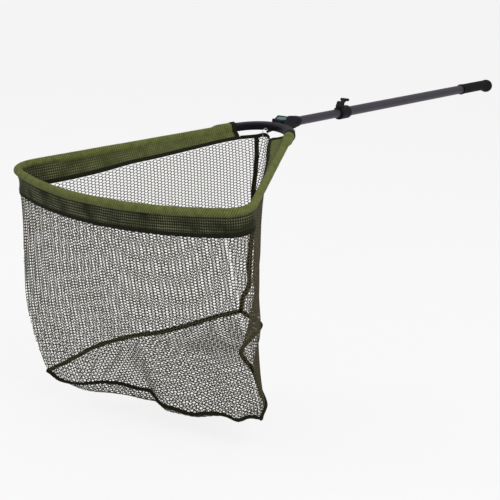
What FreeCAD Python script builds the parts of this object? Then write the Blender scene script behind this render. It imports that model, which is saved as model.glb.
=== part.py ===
import FreeCAD, Part
import math
import os
import Sketcher

# Folding triangular landing net with a telescopic handle, millimetres.
# Origin: centre of the grip's flat butt.  +X runs along the handle to the net,
# +Y is left, +Z is up.  The net head lies in its own plane, which starts at
# the apex on the handle's axis and droops a little towards the front bar.

V = FreeCAD.Vector
doc = FreeCAD.newDocument("LandingNet")
sheet = doc.addObject("Spreadsheet::Sheet", "Dims")

sizes = {
    # telescopic handle
    "rearOuter": (22.5, "rear tube, outside diameter"),
    "frontOuter": (20.0, "front tube, outside diameter"),
    "tubeWall": (1.0, "wall of both handle tubes"),
    "rearStart": (10.0, "rear tube begins inside the grip"),
    "rearEnd": (728.0, "rear tube ends inside the clamp"),
    "frontTail": (175.0, "front tube's inner end at rest"),
    "frontEnd": (938.0, "front tube ends in the head block"),
    "bushLength": (22.0, "guide bush on the front tube's inner end"),
    "bushSpigot": (14.0, "part of the bush inside the front tube"),
    "plugLength": (16.0, "plug in the rear tube's butt end"),
    "runFit": (0.06, "running clearance on the radius"),
    "seatFit": (0.03, "clearance on the radius of a seated piece"),
    "bodyGap": (0.3, "clearance between pieces that move apart"),
    # grip
    "gripLength": (154.0, "rubber grip"),
    "gripRadius": (13.0, "grip, plain part"),
    "gripRimRadius": (13.9, "rim at the grip's front"),
    "gripRimLength": (4.0, "rim at the grip's front"),
    "pommelLength": (50.0, "flared butt of the grip"),
    "pommelRadius": (17.0, "flared butt of the grip"),
    "pommelDrop": (3.5, "flared butt hangs below the axis"),
    "buttRadius": (12.5, "flat face of the butt"),
    # lever clamp
    "clampStart": (709.0, "clamp body, butt side"),
    "clampLength": (38.0, "clamp body"),
    "clampRadius": (15.6, "clamp body"),
    "clampChamfer": (2.0, "clamp body's edges"),
    "mouthLength": (5.0, "guide ring in the clamp's mouth"),
    "mouthWall": (1.2, "guide ring in the clamp's mouth"),
    "bossWidth": (16.0, "lever boss"),
    "bossBack": (14.0, "lever boss, from the clamp's mouth"),
    "bossTop": (27.0, "lever boss, height over the axis"),
    "leverWidth": (9.0, "lever between the boss's cheeks"),
    "pivotBack": (10.5, "lever pivot, from the clamp's mouth"),
    "pivotHeight": (20.0, "lever pivot over the axis"),
    "camRadius": (4.4, "lever's cam"),
    "leverPin": (3.0, "lever pin, diameter"),
    "leverReach": (17.0, "lever tip behind its pivot"),
    "leverRise": (11.0, "lever tip over its pivot"),
    "leverThick": (4.0, "lever's stem"),
    "tabWidth": (23.0, "cross tab of the lever"),
    "tabLength": (6.5, "cross tab of the lever"),
    "tabThick": (4.6, "cross tab of the lever"),
    "shoeLength": (9.0, "brake shoe under the cam"),
    # head block with its push button
    "collarLength": (30.0, "collar round the front tube"),
    "collarRear": (12.2, "collar's radius at the tube"),
    "collarFront": (15.2, "collar's radius at the block"),
    "ribCount": (4, "ribs round the collar"),
    "ribDepth": (0.7, "ribs round the collar"),
    "blockWidth": (32.0, "head block"),
    "blockStart": (940.0, "head block, handle side"),
    "blockFront": (990.0, "head block's stop face"),
    "blockBottom": (-12.0, "underside of the block"),
    "rampFootX": (983.0, "foot of the button ramp"),
    "rampFootZ": (8.0, "foot of the button ramp"),
    "rampTopX": (968.0, "top of the button ramp"),
    "rampTopZ": (17.5, "top of the button ramp"),
    "rimWidth": (2.6, "raised rim round the button"),
    "buttonSink": (0.6, "button face below the rim"),
    "buttonThick": (4.0, "button plate"),
    "buttonTravel": (3.0, "push of the button"),
    "buttonFoot": (2.8, "button plate ends before the ramp's foot"),
    "stemRadius": (2.6, "button's guide stem"),
    "springRadius": (4.2, "spring, to the wire's middle"),
    "springWire": (0.9, "spring wire"),
    "springTurns": (5, "spring turns"),
    "springLength": (9.0, "spring at rest"),
    # fold hinge
    "hingeX": (985.0, "fold pin's place"),
    "hingeZ": (8.0, "fold pin's place"),
    "webDrop": (3.1, "web between knuckle and beam, below the pin"),
    "foldPin": (4.0, "fold pin, diameter"),
    "knuckleRadius": (3.9, "yoke's knuckle round the pin"),
    "cheekRadius": (4.4, "block's cheeks round the pin"),
    "knuckleWidth": (20.0, "yoke's knuckle"),
    "pinHead": (6.0, "fold pin's head, diameter"),
    # net head, in its own plane
    "netApex": (968.0, "apex of the net plane on the axis"),
    "netDroop": (7.43, "droop of the net plane, degrees"),
    "netRise": (3.15, "net plane above the axis at the apex"),
    "netHalfAngle": (27.5, "each arm from the handle's line, degrees"),
    "bowRadius": (622.0, "front bar's arc"),
    "bowCentre": (0.0, "front bar's centre ahead of the apex"),
    "cornerRadius": (47.0, "corners, to the tube's middle"),
    # yoke
    "yokeBack": (34.0, "yoke beam's middle ahead of the apex"),
    "yokeRadius": (86.7, "yoke's arc"),
    "yokeWidth": (22.0, "yoke beam in plan"),
    "yokeTop": (7.0, "yoke beam over the net plane"),
    "yokeBottom": (-8.0, "yoke beam under the net plane"),
    "yokeBevel": (4.5, "bevels of the yoke beam"),
    "socketRadius": (10.0, "yoke's round ends"),
    "socketLength": (42.0, "yoke's round ends"),
    "socketStop": (10.0, "floor of the tube bores"),
    "rivetRadius": (1.6, "rivets through the yoke's ends"),
    "rivetInset": (32.0, "rivets from the start of the arm"),
    # frame tube
    "frameRadius": (6.5, "frame tube, outside radius"),
    "frameWall": (1.1, "frame tube's wall"),
    "ferruleLength": (70.0, "ferrule inside the front joint"),
    # net ring
    "ringU": (68.0, "wire ring ahead of the apex"),
    "ringW": (-6.5, "wire ring below the net plane"),
    "ringRadius": (9.5, "wire ring"),
    "ringWire": (1.0, "wire's radius"),
    "eyeThick": (3.0, "eye that carries the ring"),
    "eyeRadius": (3.4, "eye that carries the ring"),
    # fabric sleeve, hanging band and tapes
    "sleeveRadius": (8.0, "sleeve round the frame tube"),
    "sleeveWall": (1.2, "sleeve fabric round the tube"),
    "flareRadius": (11.6, "sleeve over the yoke's ends"),
    "flareTaper": (16.0, "sleeve narrows behind the yoke's ends"),
    "bandThick": (2.2, "hanging band"),
    "bandDepth": (42.0, "band's lower edge below the net plane"),
    "bandBackDepth": (29.0, "band's depth at the sleeve's rear end"),
    "bandLean": (57.0, "band leans inwards at the sleeve's rear end, degrees"),
    "tapeDepth": (9.0, "black tape along the band"),
    "tapeThick": (3.0, "black tape along the band"),
    "tapeGap": (0.45, "black tape from the leaning band"),
    "hemLength": (10.0, "black hem at the sleeve's ends"),
    "hemWall": (0.9, "black hem at the sleeve's ends"),
    "backTape": (7.0, "tape between the sleeves, height"),
    "backTapeThick": (2.0, "tape between the sleeves"),
    "backTapeSag": (2.0, "tape between the sleeves hangs through"),
    "backTapeLift": (0.5, "tape between the sleeves above the walls' edges"),
    "backU": (69.5, "middle of the back tape ahead of the apex"),
    "backW": (-10.8, "middle of the back tape"),
    # net bag
    "netThick": (1.6, "net wall"),
    "gridPitch": (52.0, "openings of the net walls, from one to the next"),
    "gridBar": (13.0, "bars between the openings"),
    "bagDepth": (453.0, "front corners of the bag's floor"),
    "bagLeftU": (493.0, "left front corner of the floor ahead of the apex"),
    "bagLeftV": (279.0, "left front corner of the floor sideways"),
    "bagRightU": (555.0, "right front corner of the floor ahead of the apex"),
    "bagRightV": (258.0, "right front corner of the floor sideways"),
    "bagBackU": (193.0, "rear corner of the floor ahead of the apex"),
    "bagBackW": (389.0, "rear corner of the floor"),
    "floorSag": (38.0, "sag of the floor's middle"),
    "wallBelly": (10.0, "front and side walls bow outwards"),
    "seamWidth": (8.0, "seam tapes"),
    "backSeamWidth": (13.0, "tape down the back seam"),
    "seamThick": (1.6, "seam tapes"),
    "seamGap": (0.1, "seam tapes from the net"),
    "cornerInset": (1.9, "front wall ends beside the side walls"),
}
for row, (name, (value, note)) in enumerate(sizes.items(), start=1):
    sheet.set("A%d" % row, name)
    sheet.set("B%d" % row, str(value))
    sheet.set("C%d" % row, note)
    sheet.setAlias("B%d" % row, name)
doc.recompute()


def size(expression):
    """Value of an expression over the sheet, in mm or degrees."""
    result = sheet.evalExpression(expression)
    return float(getattr(result, "Value", result))


def bind(item, **expressions):
    """Bind properties of an object to expressions over the sheet."""
    for prop, expression in expressions.items():
        item.setExpression(prop, expression)
    return item


# ---------------------------------------------------------------- sketches

def originPlane(body, role):
    return next(f for f in body.Origin.OriginFeatures if f.Role == role)


def newBody(label):
    body = doc.addObject("PartDesign::Body", label)
    body.Label = label
    return body


def newSketch(body, role, offset=None):
    """Sketch on one of the body's origin planes, moved by offset."""
    sketch = body.newObject("Sketcher::SketchObject", body.Name + "Sketch")
    sketch.AttachmentSupport = [(originPlane(body, role), "")]
    sketch.MapMode = "FlatFace"
    if offset is not None:
        sketch.AttachmentOffset = offset
    return sketch


def pinTo(sketch, index, point, across, along, guess):
    """Tie one sketch point to two expressions."""
    for kind, expression, value in (("DistanceX", across, guess.x), ("DistanceY", along, guess.y)):
        number = sketch.addConstraint(Sketcher.Constraint(kind, -1, 1, index, point, value))
        sketch.setExpression("Constraints[%d]" % number, expression)


def drawOutline(sketch, corners):
    """Closed outline of straight lines; each corner is a pair of expressions."""
    start = [V(size(x), size(y), 0) for x, y in corners]
    first = sketch.GeometryCount
    count = len(corners)
    for i in range(count):
        sketch.addGeometry(Part.LineSegment(start[i], start[(i + 1) % count]), False)
    for i in range(count):
        following = first + (i + 1) % count
        sketch.addConstraint(Sketcher.Constraint("Coincident", first + i, 2, following, 1))
    for i, (x, y) in enumerate(corners):
        pinTo(sketch, first + i, 1, x, y, start[i])


def drawCircle(sketch, x, y, radius):
    centre = V(size(x), size(y), 0)
    index = sketch.addGeometry(Part.Circle(centre, V(0, 0, 1), size(radius)), False)
    pinTo(sketch, index, 3, x, y, centre)
    number = sketch.addConstraint(Sketcher.Constraint("Radius", index, size(radius)))
    sketch.setExpression("Constraints[%d]" % number, radius)


def pad(body, sketch, length, midplane=False, reverse=False):
    feature = body.newObject("PartDesign::Pad", body.Name + "Pad")
    feature.Profile = sketch
    feature.Midplane = midplane
    feature.Reversed = reverse
    bind(feature, Length=length)
    return feature


def pocket(body, sketch, length, midplane=False, reverse=False):
    """Pocket that must take material away."""
    doc.recompute()
    before = body.Shape.Volume
    feature = body.newObject("PartDesign::Pocket", body.Name + "Pocket")
    feature.Profile = sketch
    feature.Midplane = midplane
    feature.Reversed = reverse
    bind(feature, Length=length)
    doc.recompute()
    if body.Shape.Volume >= before - 1e-6:
        raise RuntimeError("a pocket in %s cuts nothing" % body.Label)
    return feature


def turn(body, sketch):
    """Full revolution about the X axis."""
    feature = body.newObject("PartDesign::Revolution", body.Name + "Turn")
    feature.Profile = sketch
    feature.ReferenceAxis = (originPlane(body, "X_Axis"), [""])
    feature.Angle = 360
    return feature


def turned(label, corners):
    """Body turned about the handle's axis from an outline in X and radius."""
    body = newBody(label)
    sketch = newSketch(body, "XZ_Plane")
    drawOutline(sketch, corners)
    turn(body, sketch)
    return body


def roundEdges(body, radius, wanted):
    """Fillet the body's straight edges that the test accepts."""
    doc.recompute()
    names = ["Edge%d" % (i + 1) for i, edge in enumerate(body.Shape.Edges) if wanted(edge)]
    if not names:
        raise RuntimeError("no edge to round on %s" % body.Label)
    solid = body.Tip
    feature = body.newObject("PartDesign::Fillet", body.Name + "Fillet")
    feature.Base = (solid, names)
    bind(feature, Radius=radius)
    return feature


def crossPin(label, x, z, diameter, length):
    """Plain pin along Y."""
    body = newBody(label)
    sketch = newSketch(body, "XZ_Plane")
    drawCircle(sketch, x, z, diameter + " / 2")
    pad(body, sketch, length, midplane=True)
    return body


subparts = []


def keep(item, label=None):
    """Register an object as one sub-part of the net."""
    if label:
        item.Label = label
    subparts.append(item)
    return item


def keepShape(label, shape, placement=None):
    """Register a shape that was made with Part's functions."""
    feature = doc.addObject("Part::Feature", label)
    feature.Shape = shape
    feature.Placement = placement or FreeCAD.Placement()
    return keep(feature, label)


# ------------------------------------------------------------- handle tubes

rearBore = "(Dims.rearOuter / 2 - Dims.tubeWall)"
frontBore = "(Dims.frontOuter / 2 - Dims.tubeWall)"
clampEnd = "(Dims.clampStart + Dims.clampLength)"

keep(turned("rear_tube", [
    ("Dims.rearStart", rearBore),
    ("Dims.rearEnd", rearBore),
    ("Dims.rearEnd", "Dims.rearOuter / 2"),
    ("Dims.rearStart", "Dims.rearOuter / 2"),
]))

keep(turned("front_tube", [
    ("Dims.frontTail", frontBore),
    ("Dims.frontEnd", frontBore),
    ("Dims.frontEnd", "Dims.frontOuter / 2"),
    ("Dims.frontTail", "Dims.frontOuter / 2"),
]))

plugSeat = rearBore + " - Dims.seatFit"
keep(turned("butt_plug", [
    ("Dims.rearStart", "0"),
    ("Dims.rearStart + Dims.plugLength", "0"),
    ("Dims.rearStart + Dims.plugLength", plugSeat + " - 1.5"),
    ("Dims.rearStart + Dims.plugLength - 1.5", plugSeat),
    ("Dims.rearStart", plugSeat),
]))

spigotRadius = frontBore + " - Dims.seatFit"
bushRadius = rearBore + " - Dims.runFit"
bushHead = "(Dims.bushLength - Dims.bushSpigot)"
keep(turned("guide_bush", [
    ("Dims.frontTail - " + bushHead, spigotRadius + " - 2"),
    ("Dims.frontTail + Dims.bushSpigot", spigotRadius + " - 2"),
    ("Dims.frontTail + Dims.bushSpigot", spigotRadius),
    ("Dims.frontTail", spigotRadius),
    ("Dims.frontTail", bushRadius),
    ("Dims.frontTail - " + bushHead, bushRadius),
]))


# --------------------------------------------------------------------- grip

def makeGrip():
    """Rubber grip: a plain barrel with a rim, lofted into a dropped pommel."""
    barrel = turned("gripBarrel", [
        ("Dims.pommelLength", "0"),
        ("Dims.gripLength", "0"),
        ("Dims.gripLength", "Dims.gripRimRadius"),
        ("Dims.gripLength - Dims.gripRimLength", "Dims.gripRimRadius"),
        ("Dims.gripLength - Dims.gripRimLength - 1.5", "Dims.gripRadius"),
        ("Dims.pommelLength", "Dims.gripRadius"),
    ])
    # place, radius and drop of each section, as shares of the pommel's own sizes
    sections = [
        ("Dims.pommelLength", "Dims.gripRadius", "0"),
        ("Dims.pommelLength * 0.78", "Dims.gripRadius + 0.3", "Dims.pommelDrop * 0.12"),
        ("Dims.pommelLength * 0.5", "(Dims.gripRadius + Dims.pommelRadius) / 2", "Dims.pommelDrop * 0.6"),
        ("Dims.pommelLength * 0.24", "Dims.pommelRadius", "Dims.pommelDrop"),
        ("Dims.pommelLength * 0.1", "Dims.pommelRadius - 0.9", "Dims.pommelDrop"),
        ("Dims.pommelLength * 0.03", "Dims.pommelRadius - 2.4", "Dims.pommelDrop"),
        ("0", "Dims.buttRadius", "Dims.pommelDrop"),
    ]
    rings = []
    for place, radius, drop in sections:
        ring = doc.addObject("Part::Circle", "gripRing")
        ring.Placement = FreeCAD.Placement(V(0, 0, 0), FreeCAD.Rotation(V(0, 1, 0), 90))
        bind(ring, Radius=radius)
        ring.setExpression("Placement.Base.x", place)
        ring.setExpression("Placement.Base.z", "-" + "(" + drop + ")")
        rings.append(ring)
    pommel = doc.addObject("Part::Loft", "gripPommel")
    pommel.Sections = rings
    pommel.Solid = True
    pommel.Ruled = False
    whole = doc.addObject("Part::Fuse", "gripWhole")
    whole.Base = barrel
    whole.Tool = pommel
    bore = doc.addObject("Part::Cylinder", "gripBore")
    bore.Placement = FreeCAD.Placement(V(0, 0, 0), FreeCAD.Rotation(V(0, 1, 0), 90))
    bind(bore, Radius="Dims.rearOuter / 2 + Dims.seatFit", Height="Dims.gripLength")
    bore.setExpression("Placement.Base.x", "Dims.rearStart")
    grip = doc.addObject("Part::Cut", "grip")
    grip.Base = whole
    grip.Tool = bore
    keep(grip, "grip")


makeGrip()


# -------------------------------------------------------------- lever clamp

pivotX = "(" + clampEnd + " - Dims.pivotBack)"
shoeTop = "(Dims.pivotHeight - Dims.camRadius - Dims.bodyGap)"
bossX = "(" + clampEnd + " - Dims.bossBack)"


def makeClamp():
    """Clamp body: turned barrel with the lever boss, shoe window and pin hole."""
    seat = "Dims.rearOuter / 2 + Dims.seatFit"
    passage = "Dims.frontOuter / 2 + Dims.bodyGap"
    mouth = "Dims.frontOuter / 2 + Dims.runFit + Dims.mouthWall + Dims.seatFit"
    barrel = turned("clamp_body", [
        ("Dims.clampStart", seat),
        ("Dims.rearEnd", seat),
        ("Dims.rearEnd", passage),
        (clampEnd + " - Dims.mouthLength", passage),
        (clampEnd + " - Dims.mouthLength", mouth),
        (clampEnd, mouth),
        (clampEnd, "Dims.clampRadius - Dims.clampChamfer"),
        (clampEnd + " - Dims.clampChamfer", "Dims.clampRadius - Dims.clampChamfer / 2"),
        (clampEnd + " - Dims.clampChamfer", "Dims.clampRadius"),
        ("Dims.clampStart + Dims.clampChamfer", "Dims.clampRadius"),
        ("Dims.clampStart", "Dims.clampRadius - Dims.clampChamfer"),
    ])
    boss = newSketch(barrel, "XZ_Plane")
    drawOutline(boss, [
        (bossX, "Dims.clampRadius - 2"),
        (clampEnd + " - 0.6", "Dims.clampRadius - 2"),
        (clampEnd + " - 0.6", "Dims.clampRadius + 1"),
        (clampEnd + " - 7", "Dims.bossTop"),
        (bossX, "Dims.bossTop"),
    ])
    pad(barrel, boss, "Dims.bossWidth", midplane=True)
    # slot for the lever, and the window for the brake shoe below it
    slot = newSketch(barrel, "XZ_Plane")
    drawOutline(slot, [
        (bossX + " - 2", shoeTop + " - 1"),
        (pivotX + " + Dims.camRadius + Dims.bodyGap", shoeTop + " - 1"),
        (pivotX + " + Dims.camRadius + Dims.bodyGap", "Dims.bossTop + 1"),
        (bossX + " - 2", "Dims.bossTop + 1"),
    ])
    pocket(barrel, slot, "Dims.leverWidth + Dims.bodyGap * 2", midplane=True)
    window = newSketch(barrel, "XZ_Plane")
    drawOutline(window, [
        (pivotX + " - Dims.shoeLength / 2 - Dims.seatFit", "Dims.frontOuter / 2 - 2"),
        (pivotX + " + Dims.shoeLength / 2 + Dims.seatFit", "Dims.frontOuter / 2 - 2"),
        (pivotX + " + Dims.shoeLength / 2 + Dims.seatFit", shoeTop),
        (pivotX + " - Dims.shoeLength / 2 - Dims.seatFit", shoeTop),
    ])
    pocket(barrel, window, "Dims.leverWidth + Dims.seatFit * 2", midplane=True)
    hole = newSketch(barrel, "XZ_Plane")
    drawCircle(hole, pivotX, "Dims.pivotHeight", "Dims.leverPin / 2 + Dims.seatFit")
    pocket(barrel, hole, "Dims.bossWidth + 2", midplane=True)
    keep(barrel)


makeClamp()

mouthInner = "Dims.frontOuter / 2 + Dims.runFit"
keep(turned("mouth_ring", [
    (clampEnd + " - Dims.mouthLength", mouthInner),
    (clampEnd + " + 0.8", mouthInner),
    (clampEnd + " + 0.8", mouthInner + " + Dims.mouthWall"),
    (clampEnd + " - Dims.mouthLength", mouthInner + " + Dims.mouthWall"),
]))

keep(crossPin("lever_pin", pivotX, "Dims.pivotHeight", "Dims.leverPin", "Dims.bossWidth"))


def makeShoe():
    """Brake shoe: rides in the window, hollow below to the front tube."""
    shoe = newBody("brake_shoe")
    side = newSketch(shoe, "XZ_Plane")
    drawOutline(side, [
        (pivotX + " - Dims.shoeLength / 2", "Dims.frontOuter / 2 - 1.5"),
        (pivotX + " + Dims.shoeLength / 2", "Dims.frontOuter / 2 - 1.5"),
        (pivotX + " + Dims.shoeLength / 2", shoeTop),
        (pivotX + " - Dims.shoeLength / 2", shoeTop),
    ])
    pad(shoe, side, "Dims.leverWidth", midplane=True)
    hollow = newSketch(shoe, "YZ_Plane")
    drawCircle(hollow, "0", "0", "Dims.frontOuter / 2 + Dims.bodyGap")
    hollow.setExpression("AttachmentOffset.Base.z", pivotX)
    pocket(shoe, hollow, "Dims.shoeLength * 2", midplane=True)
    keep(shoe)


makeShoe()


def makeLever():
    """Thumb lever: cam, leaning stem and cross tab."""
    lever = newBody("clamp_lever")
    cam = newSketch(lever, "XZ_Plane")
    drawCircle(cam, pivotX, "Dims.pivotHeight", "Dims.camRadius")
    pad(lever, cam, "Dims.leverWidth", midplane=True)
    tipX = pivotX + " - Dims.leverReach"
    tipZ = "Dims.pivotHeight + Dims.leverRise"
    stem = newSketch(lever, "XZ_Plane")
    drawOutline(stem, [
        (pivotX + " - Dims.leverThick * 0.3", "Dims.pivotHeight - Dims.leverThick * 0.7"),
        (pivotX + " + Dims.leverThick * 0.5", "Dims.pivotHeight + Dims.leverThick * 0.8"),
        (tipX + " + Dims.leverThick * 0.9", tipZ),
        (tipX, tipZ + " - Dims.leverThick * 0.9"),
    ])
    pad(lever, stem, "Dims.leverWidth", midplane=True)
    tab = newSketch(lever, "XZ_Plane")
    drawOutline(tab, [
        (tipX + " + Dims.leverThick", tipZ),
        (tipX + " + Dims.leverThick - Dims.tabLength * 0.8", tipZ + " + Dims.tabLength * 0.3"),
        (tipX + " + Dims.leverThick - Dims.tabLength", tipZ + " + Dims.tabLength * 0.3 - Dims.tabThick"),
        (tipX + " + Dims.leverThick - Dims.tabLength * 0.2", tipZ + " - Dims.tabThick * 0.9"),
    ])
    pad(lever, tab, "Dims.tabWidth", midplane=True)
    hole = newSketch(lever, "XZ_Plane")
    drawCircle(hole, pivotX, "Dims.pivotHeight", "Dims.leverPin / 2 + Dims.runFit")
    pocket(lever, hole, "Dims.tabWidth", midplane=True)
    roundEdges(lever, "1", lambda e: abs(abs(e.BoundBox.YMin) - size("Dims.tabWidth / 2")) < 0.01
               and e.BoundBox.YLength < 0.01 and e.BoundBox.DiagonalLength > 4)
    keep(lever)


makeLever()


# --------------------------------------------------------------- head block

rampAngle = math.degrees(math.atan2(size("Dims.rampTopZ - Dims.rampFootZ"),
                                    size("Dims.rampFootX - Dims.rampTopX")))
rampLength = math.hypot(size("Dims.rampTopZ - Dims.rampFootZ"), size("Dims.rampFootX - Dims.rampTopX"))
# frame of the ramp: origin at its foot, x forward down the ramp, z out of it
rampPlace = FreeCAD.Placement(V(size("Dims.rampFootX"), 0, size("Dims.rampFootZ")),
                              FreeCAD.Rotation(V(0, 1, 0), rampAngle))
buttonBack = "-(%.6f - Dims.rimWidth)" % rampLength
buttonMiddle = "-(%.6f - Dims.rimWidth + Dims.buttonFoot) / 2" % rampLength
plateBottom = "(Dims.buttonSink + Dims.buttonThick)"
springSeat = "(" + plateBottom + " + Dims.springLength)"


def collarOutline():
    """Collar round the tube with raised ribs, closed by the block's core."""
    start = "(Dims.blockStart - Dims.collarLength + 2)"
    end = "Dims.blockStart + 2"
    corners = [
        (start, "Dims.frontOuter / 2 + Dims.seatFit"),
        ("Dims.frontEnd", "Dims.frontOuter / 2 + Dims.seatFit"),
        ("Dims.frontEnd", "0"),
        (end, "0"),
        (end, "Dims.collarFront"),
    ]
    count = int(size("Dims.ribCount"))
    for rib in range(count):
        for edge, depth in ((0.12, "0"), (0.2, "Dims.ribDepth"), (0.55, "Dims.ribDepth"), (0.63, "0")):
            share = 1 - (rib + edge) / count * 0.86
            along = "%s + (Dims.blockStart - %s) * %.5f" % (start, start, share)
            radius = "Dims.collarRear + (Dims.collarFront - Dims.collarRear) * %.5f - %s" % (share, depth)
            corners.append((along, radius))
    corners.append((start, "Dims.collarRear - 0.6"))
    return corners


def makeBlock():
    """Block with collar, button recess, spring pocket and the fold pin's cheeks."""
    block = turned("head_block", collarOutline())
    side = newSketch(block, "XZ_Plane")
    drawOutline(side, [
        ("Dims.blockStart", "Dims.blockBottom"),
        ("Dims.blockFront - 7", "Dims.blockBottom"),
        ("Dims.blockFront", "Dims.blockBottom + 5"),
        ("Dims.blockFront", "Dims.hingeZ - Dims.cheekRadius"),
        ("Dims.hingeX", "Dims.hingeZ"),
        ("Dims.rampTopX", "Dims.rampTopZ"),
        ("Dims.rampTopX - 7", "Dims.rampTopZ - 0.8"),
        ("Dims.blockStart", "Dims.collarFront - 3"),
    ])
    pad(block, side, "Dims.blockWidth", midplane=True)
    cheeks = newSketch(block, "XZ_Plane")
    drawCircle(cheeks, "Dims.hingeX", "Dims.hingeZ", "Dims.cheekRadius")
    pad(block, cheeks, "Dims.blockWidth", midplane=True)
    halfWidth = size("Dims.blockWidth / 2")
    roundEdges(block, "4", lambda e: abs(abs(e.BoundBox.YMin) - halfWidth) < 0.01
               and e.BoundBox.YLength < 0.01 and e.BoundBox.ZMax < size("Dims.blockBottom") + 0.1)
    # slot for the yoke's knuckle, open to the front and the top
    slot = newSketch(block, "XZ_Plane")
    reach = "(Dims.knuckleRadius + Dims.bodyGap)"
    drawOutline(slot, [
        ("Dims.hingeX - " + reach, "Dims.hingeZ - " + reach),
        ("Dims.blockFront + 1", "Dims.hingeZ - " + reach),
        ("Dims.blockFront + 1", "Dims.hingeZ + 8"),
        ("Dims.hingeX - " + reach, "Dims.hingeZ + 8"),
    ])
    pocket(block, slot, "Dims.knuckleWidth + Dims.bodyGap * 2", midplane=True)
    recess = newSketch(block, "XY_Plane", rampPlace)
    inner = "(Dims.blockWidth / 2 - Dims.rimWidth)"
    drawOutline(recess, [
        (buttonBack, "-" + inner),
        ("-Dims.buttonFoot + 1.6", "-" + inner),
        ("-Dims.buttonFoot + 1.6", inner),
        (buttonBack, inner),
    ])
    pocket(block, recess, "%s + Dims.buttonTravel + Dims.bodyGap" % plateBottom)
    overhang = newSketch(block, "XY_Plane", rampPlace)
    drawOutline(overhang, [
        (buttonBack, "-" + inner),
        ("-Dims.buttonFoot + 1.6", "-" + inner),
        ("-Dims.buttonFoot + 1.6", inner),
        (buttonBack, inner),
    ])
    pocket(block, overhang, "6", reverse=True)
    spring = newSketch(block, "XY_Plane", rampPlace)
    drawCircle(spring, buttonMiddle, "0", "Dims.springRadius + Dims.springWire / 2 + Dims.bodyGap")
    pocket(block, spring, springSeat)
    guide = newSketch(block, "XY_Plane", rampPlace)
    drawCircle(guide, buttonMiddle, "0", "Dims.stemRadius + Dims.runFit")
    pocket(block, guide, springSeat + " + Dims.buttonTravel + 2.5")
    hole = newSketch(block, "XZ_Plane")
    drawCircle(hole, "Dims.hingeX", "Dims.hingeZ", "Dims.foldPin / 2 + Dims.seatFit")
    pocket(block, hole, "Dims.blockWidth + 2", midplane=True)
    keep(block)


makeBlock()


def makeButton():
    """Ramp-shaped push button: ribbed plate, latch nose and guide stem."""
    button = newBody("fold_button")
    plate = newSketch(button, "XY_Plane")
    plate.setExpression("AttachmentOffset.Base.z", "-" + plateBottom)
    inner = "(Dims.blockWidth / 2 - Dims.rimWidth - Dims.bodyGap)"
    drawOutline(plate, [
        (buttonBack + " + Dims.bodyGap", "-" + inner),
        ("-Dims.buttonFoot", "-" + inner),
        ("-Dims.buttonFoot", inner),
        (buttonBack + " + Dims.bodyGap", inner),
    ])
    pad(button, plate, "Dims.buttonThick")
    nose = newSketch(button, "XY_Plane")
    nose.setExpression("AttachmentOffset.Base.z", "-" + plateBottom)
    drawOutline(nose, [
        ("-Dims.buttonFoot - 1", "-Dims.knuckleWidth / 4"),
        ("-Dims.buttonFoot + 1.2", "-Dims.knuckleWidth / 4"),
        ("-Dims.buttonFoot + 1.2", "Dims.knuckleWidth / 4"),
        ("-Dims.buttonFoot - 1", "Dims.knuckleWidth / 4"),
    ])
    pad(button, nose, "1.2")
    stem = newSketch(button, "XY_Plane")
    stem.setExpression("AttachmentOffset.Base.z", "-" + plateBottom)
    drawCircle(stem, buttonMiddle, "0", "Dims.stemRadius")
    pad(button, stem, "Dims.springLength + 2", reverse=True)
    roundEdges(button, "0.8", lambda e: e.BoundBox.ZMin > -size("Dims.buttonSink") - 0.01)
    button.Placement = rampPlace
    keep(button)


makeButton()


def makeSpring():
    """Return spring round the button's stem."""
    wire = size("Dims.springWire") / 2
    height = size("Dims.springLength") - 2 * wire - 0.1
    radius = size("Dims.springRadius")
    pitch = height / size("Dims.springTurns")
    helix = Part.makeHelix(pitch, height, radius)
    start = V(radius, 0, 0)
    profile = Part.Wire(Part.makeCircle(wire, start, V(0, radius, pitch / (2 * math.pi))))
    coil = Part.Wire(helix.Edges).makePipeShell([profile], True, True)
    base = V(size(buttonMiddle), 0, -size(springSeat) + wire + 0.05)
    keepShape("button_spring", coil, rampPlace.multiply(FreeCAD.Placement(base, FreeCAD.Rotation())))


makeSpring()


def makeFoldPin():
    """Fold pin with a flat head on the left cheek."""
    pin = newBody("fold_pin")
    shank = newSketch(pin, "XZ_Plane")
    drawCircle(shank, "Dims.hingeX", "Dims.hingeZ", "Dims.foldPin / 2")
    pad(pin, shank, "Dims.blockWidth + 2.4", midplane=True)
    head = newSketch(pin, "XZ_Plane", FreeCAD.Placement(V(0, 0, 0), FreeCAD.Rotation()))
    head.setExpression("AttachmentOffset.Base.z", "-(Dims.blockWidth / 2 + 1.2)")
    drawCircle(head, "Dims.hingeX", "Dims.hingeZ", "Dims.pinHead / 2")
    pad(pin, head, "1.2")
    keep(pin)


makeFoldPin()

keep(turned("collar_band", [
    ("Dims.blockStart - Dims.collarLength - 1", "Dims.frontOuter / 2 + Dims.seatFit"),
    ("Dims.blockStart - Dims.collarLength + 2", "Dims.frontOuter / 2 + Dims.seatFit"),
    ("Dims.blockStart - Dims.collarLength + 2", "Dims.collarRear - 0.6"),
    ("Dims.blockStart - Dims.collarLength - 1", "Dims.collarRear - 1.2"),
]))


# ------------------------------------------------------- net head's own plane

droop = size("Dims.netDroop")
netTurn = FreeCAD.Rotation(V(0, 1, 0), droop)
netPlace = FreeCAD.Placement(V(size("Dims.netApex"), 0, 0) + netTurn.multVec(V(0, 0, size("Dims.netRise"))),
                             netTurn)


def toNet(point):
    """Point of the row frame in the net plane's frame: forward, left, up."""
    return netPlace.inverse().multVec(point)


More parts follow.
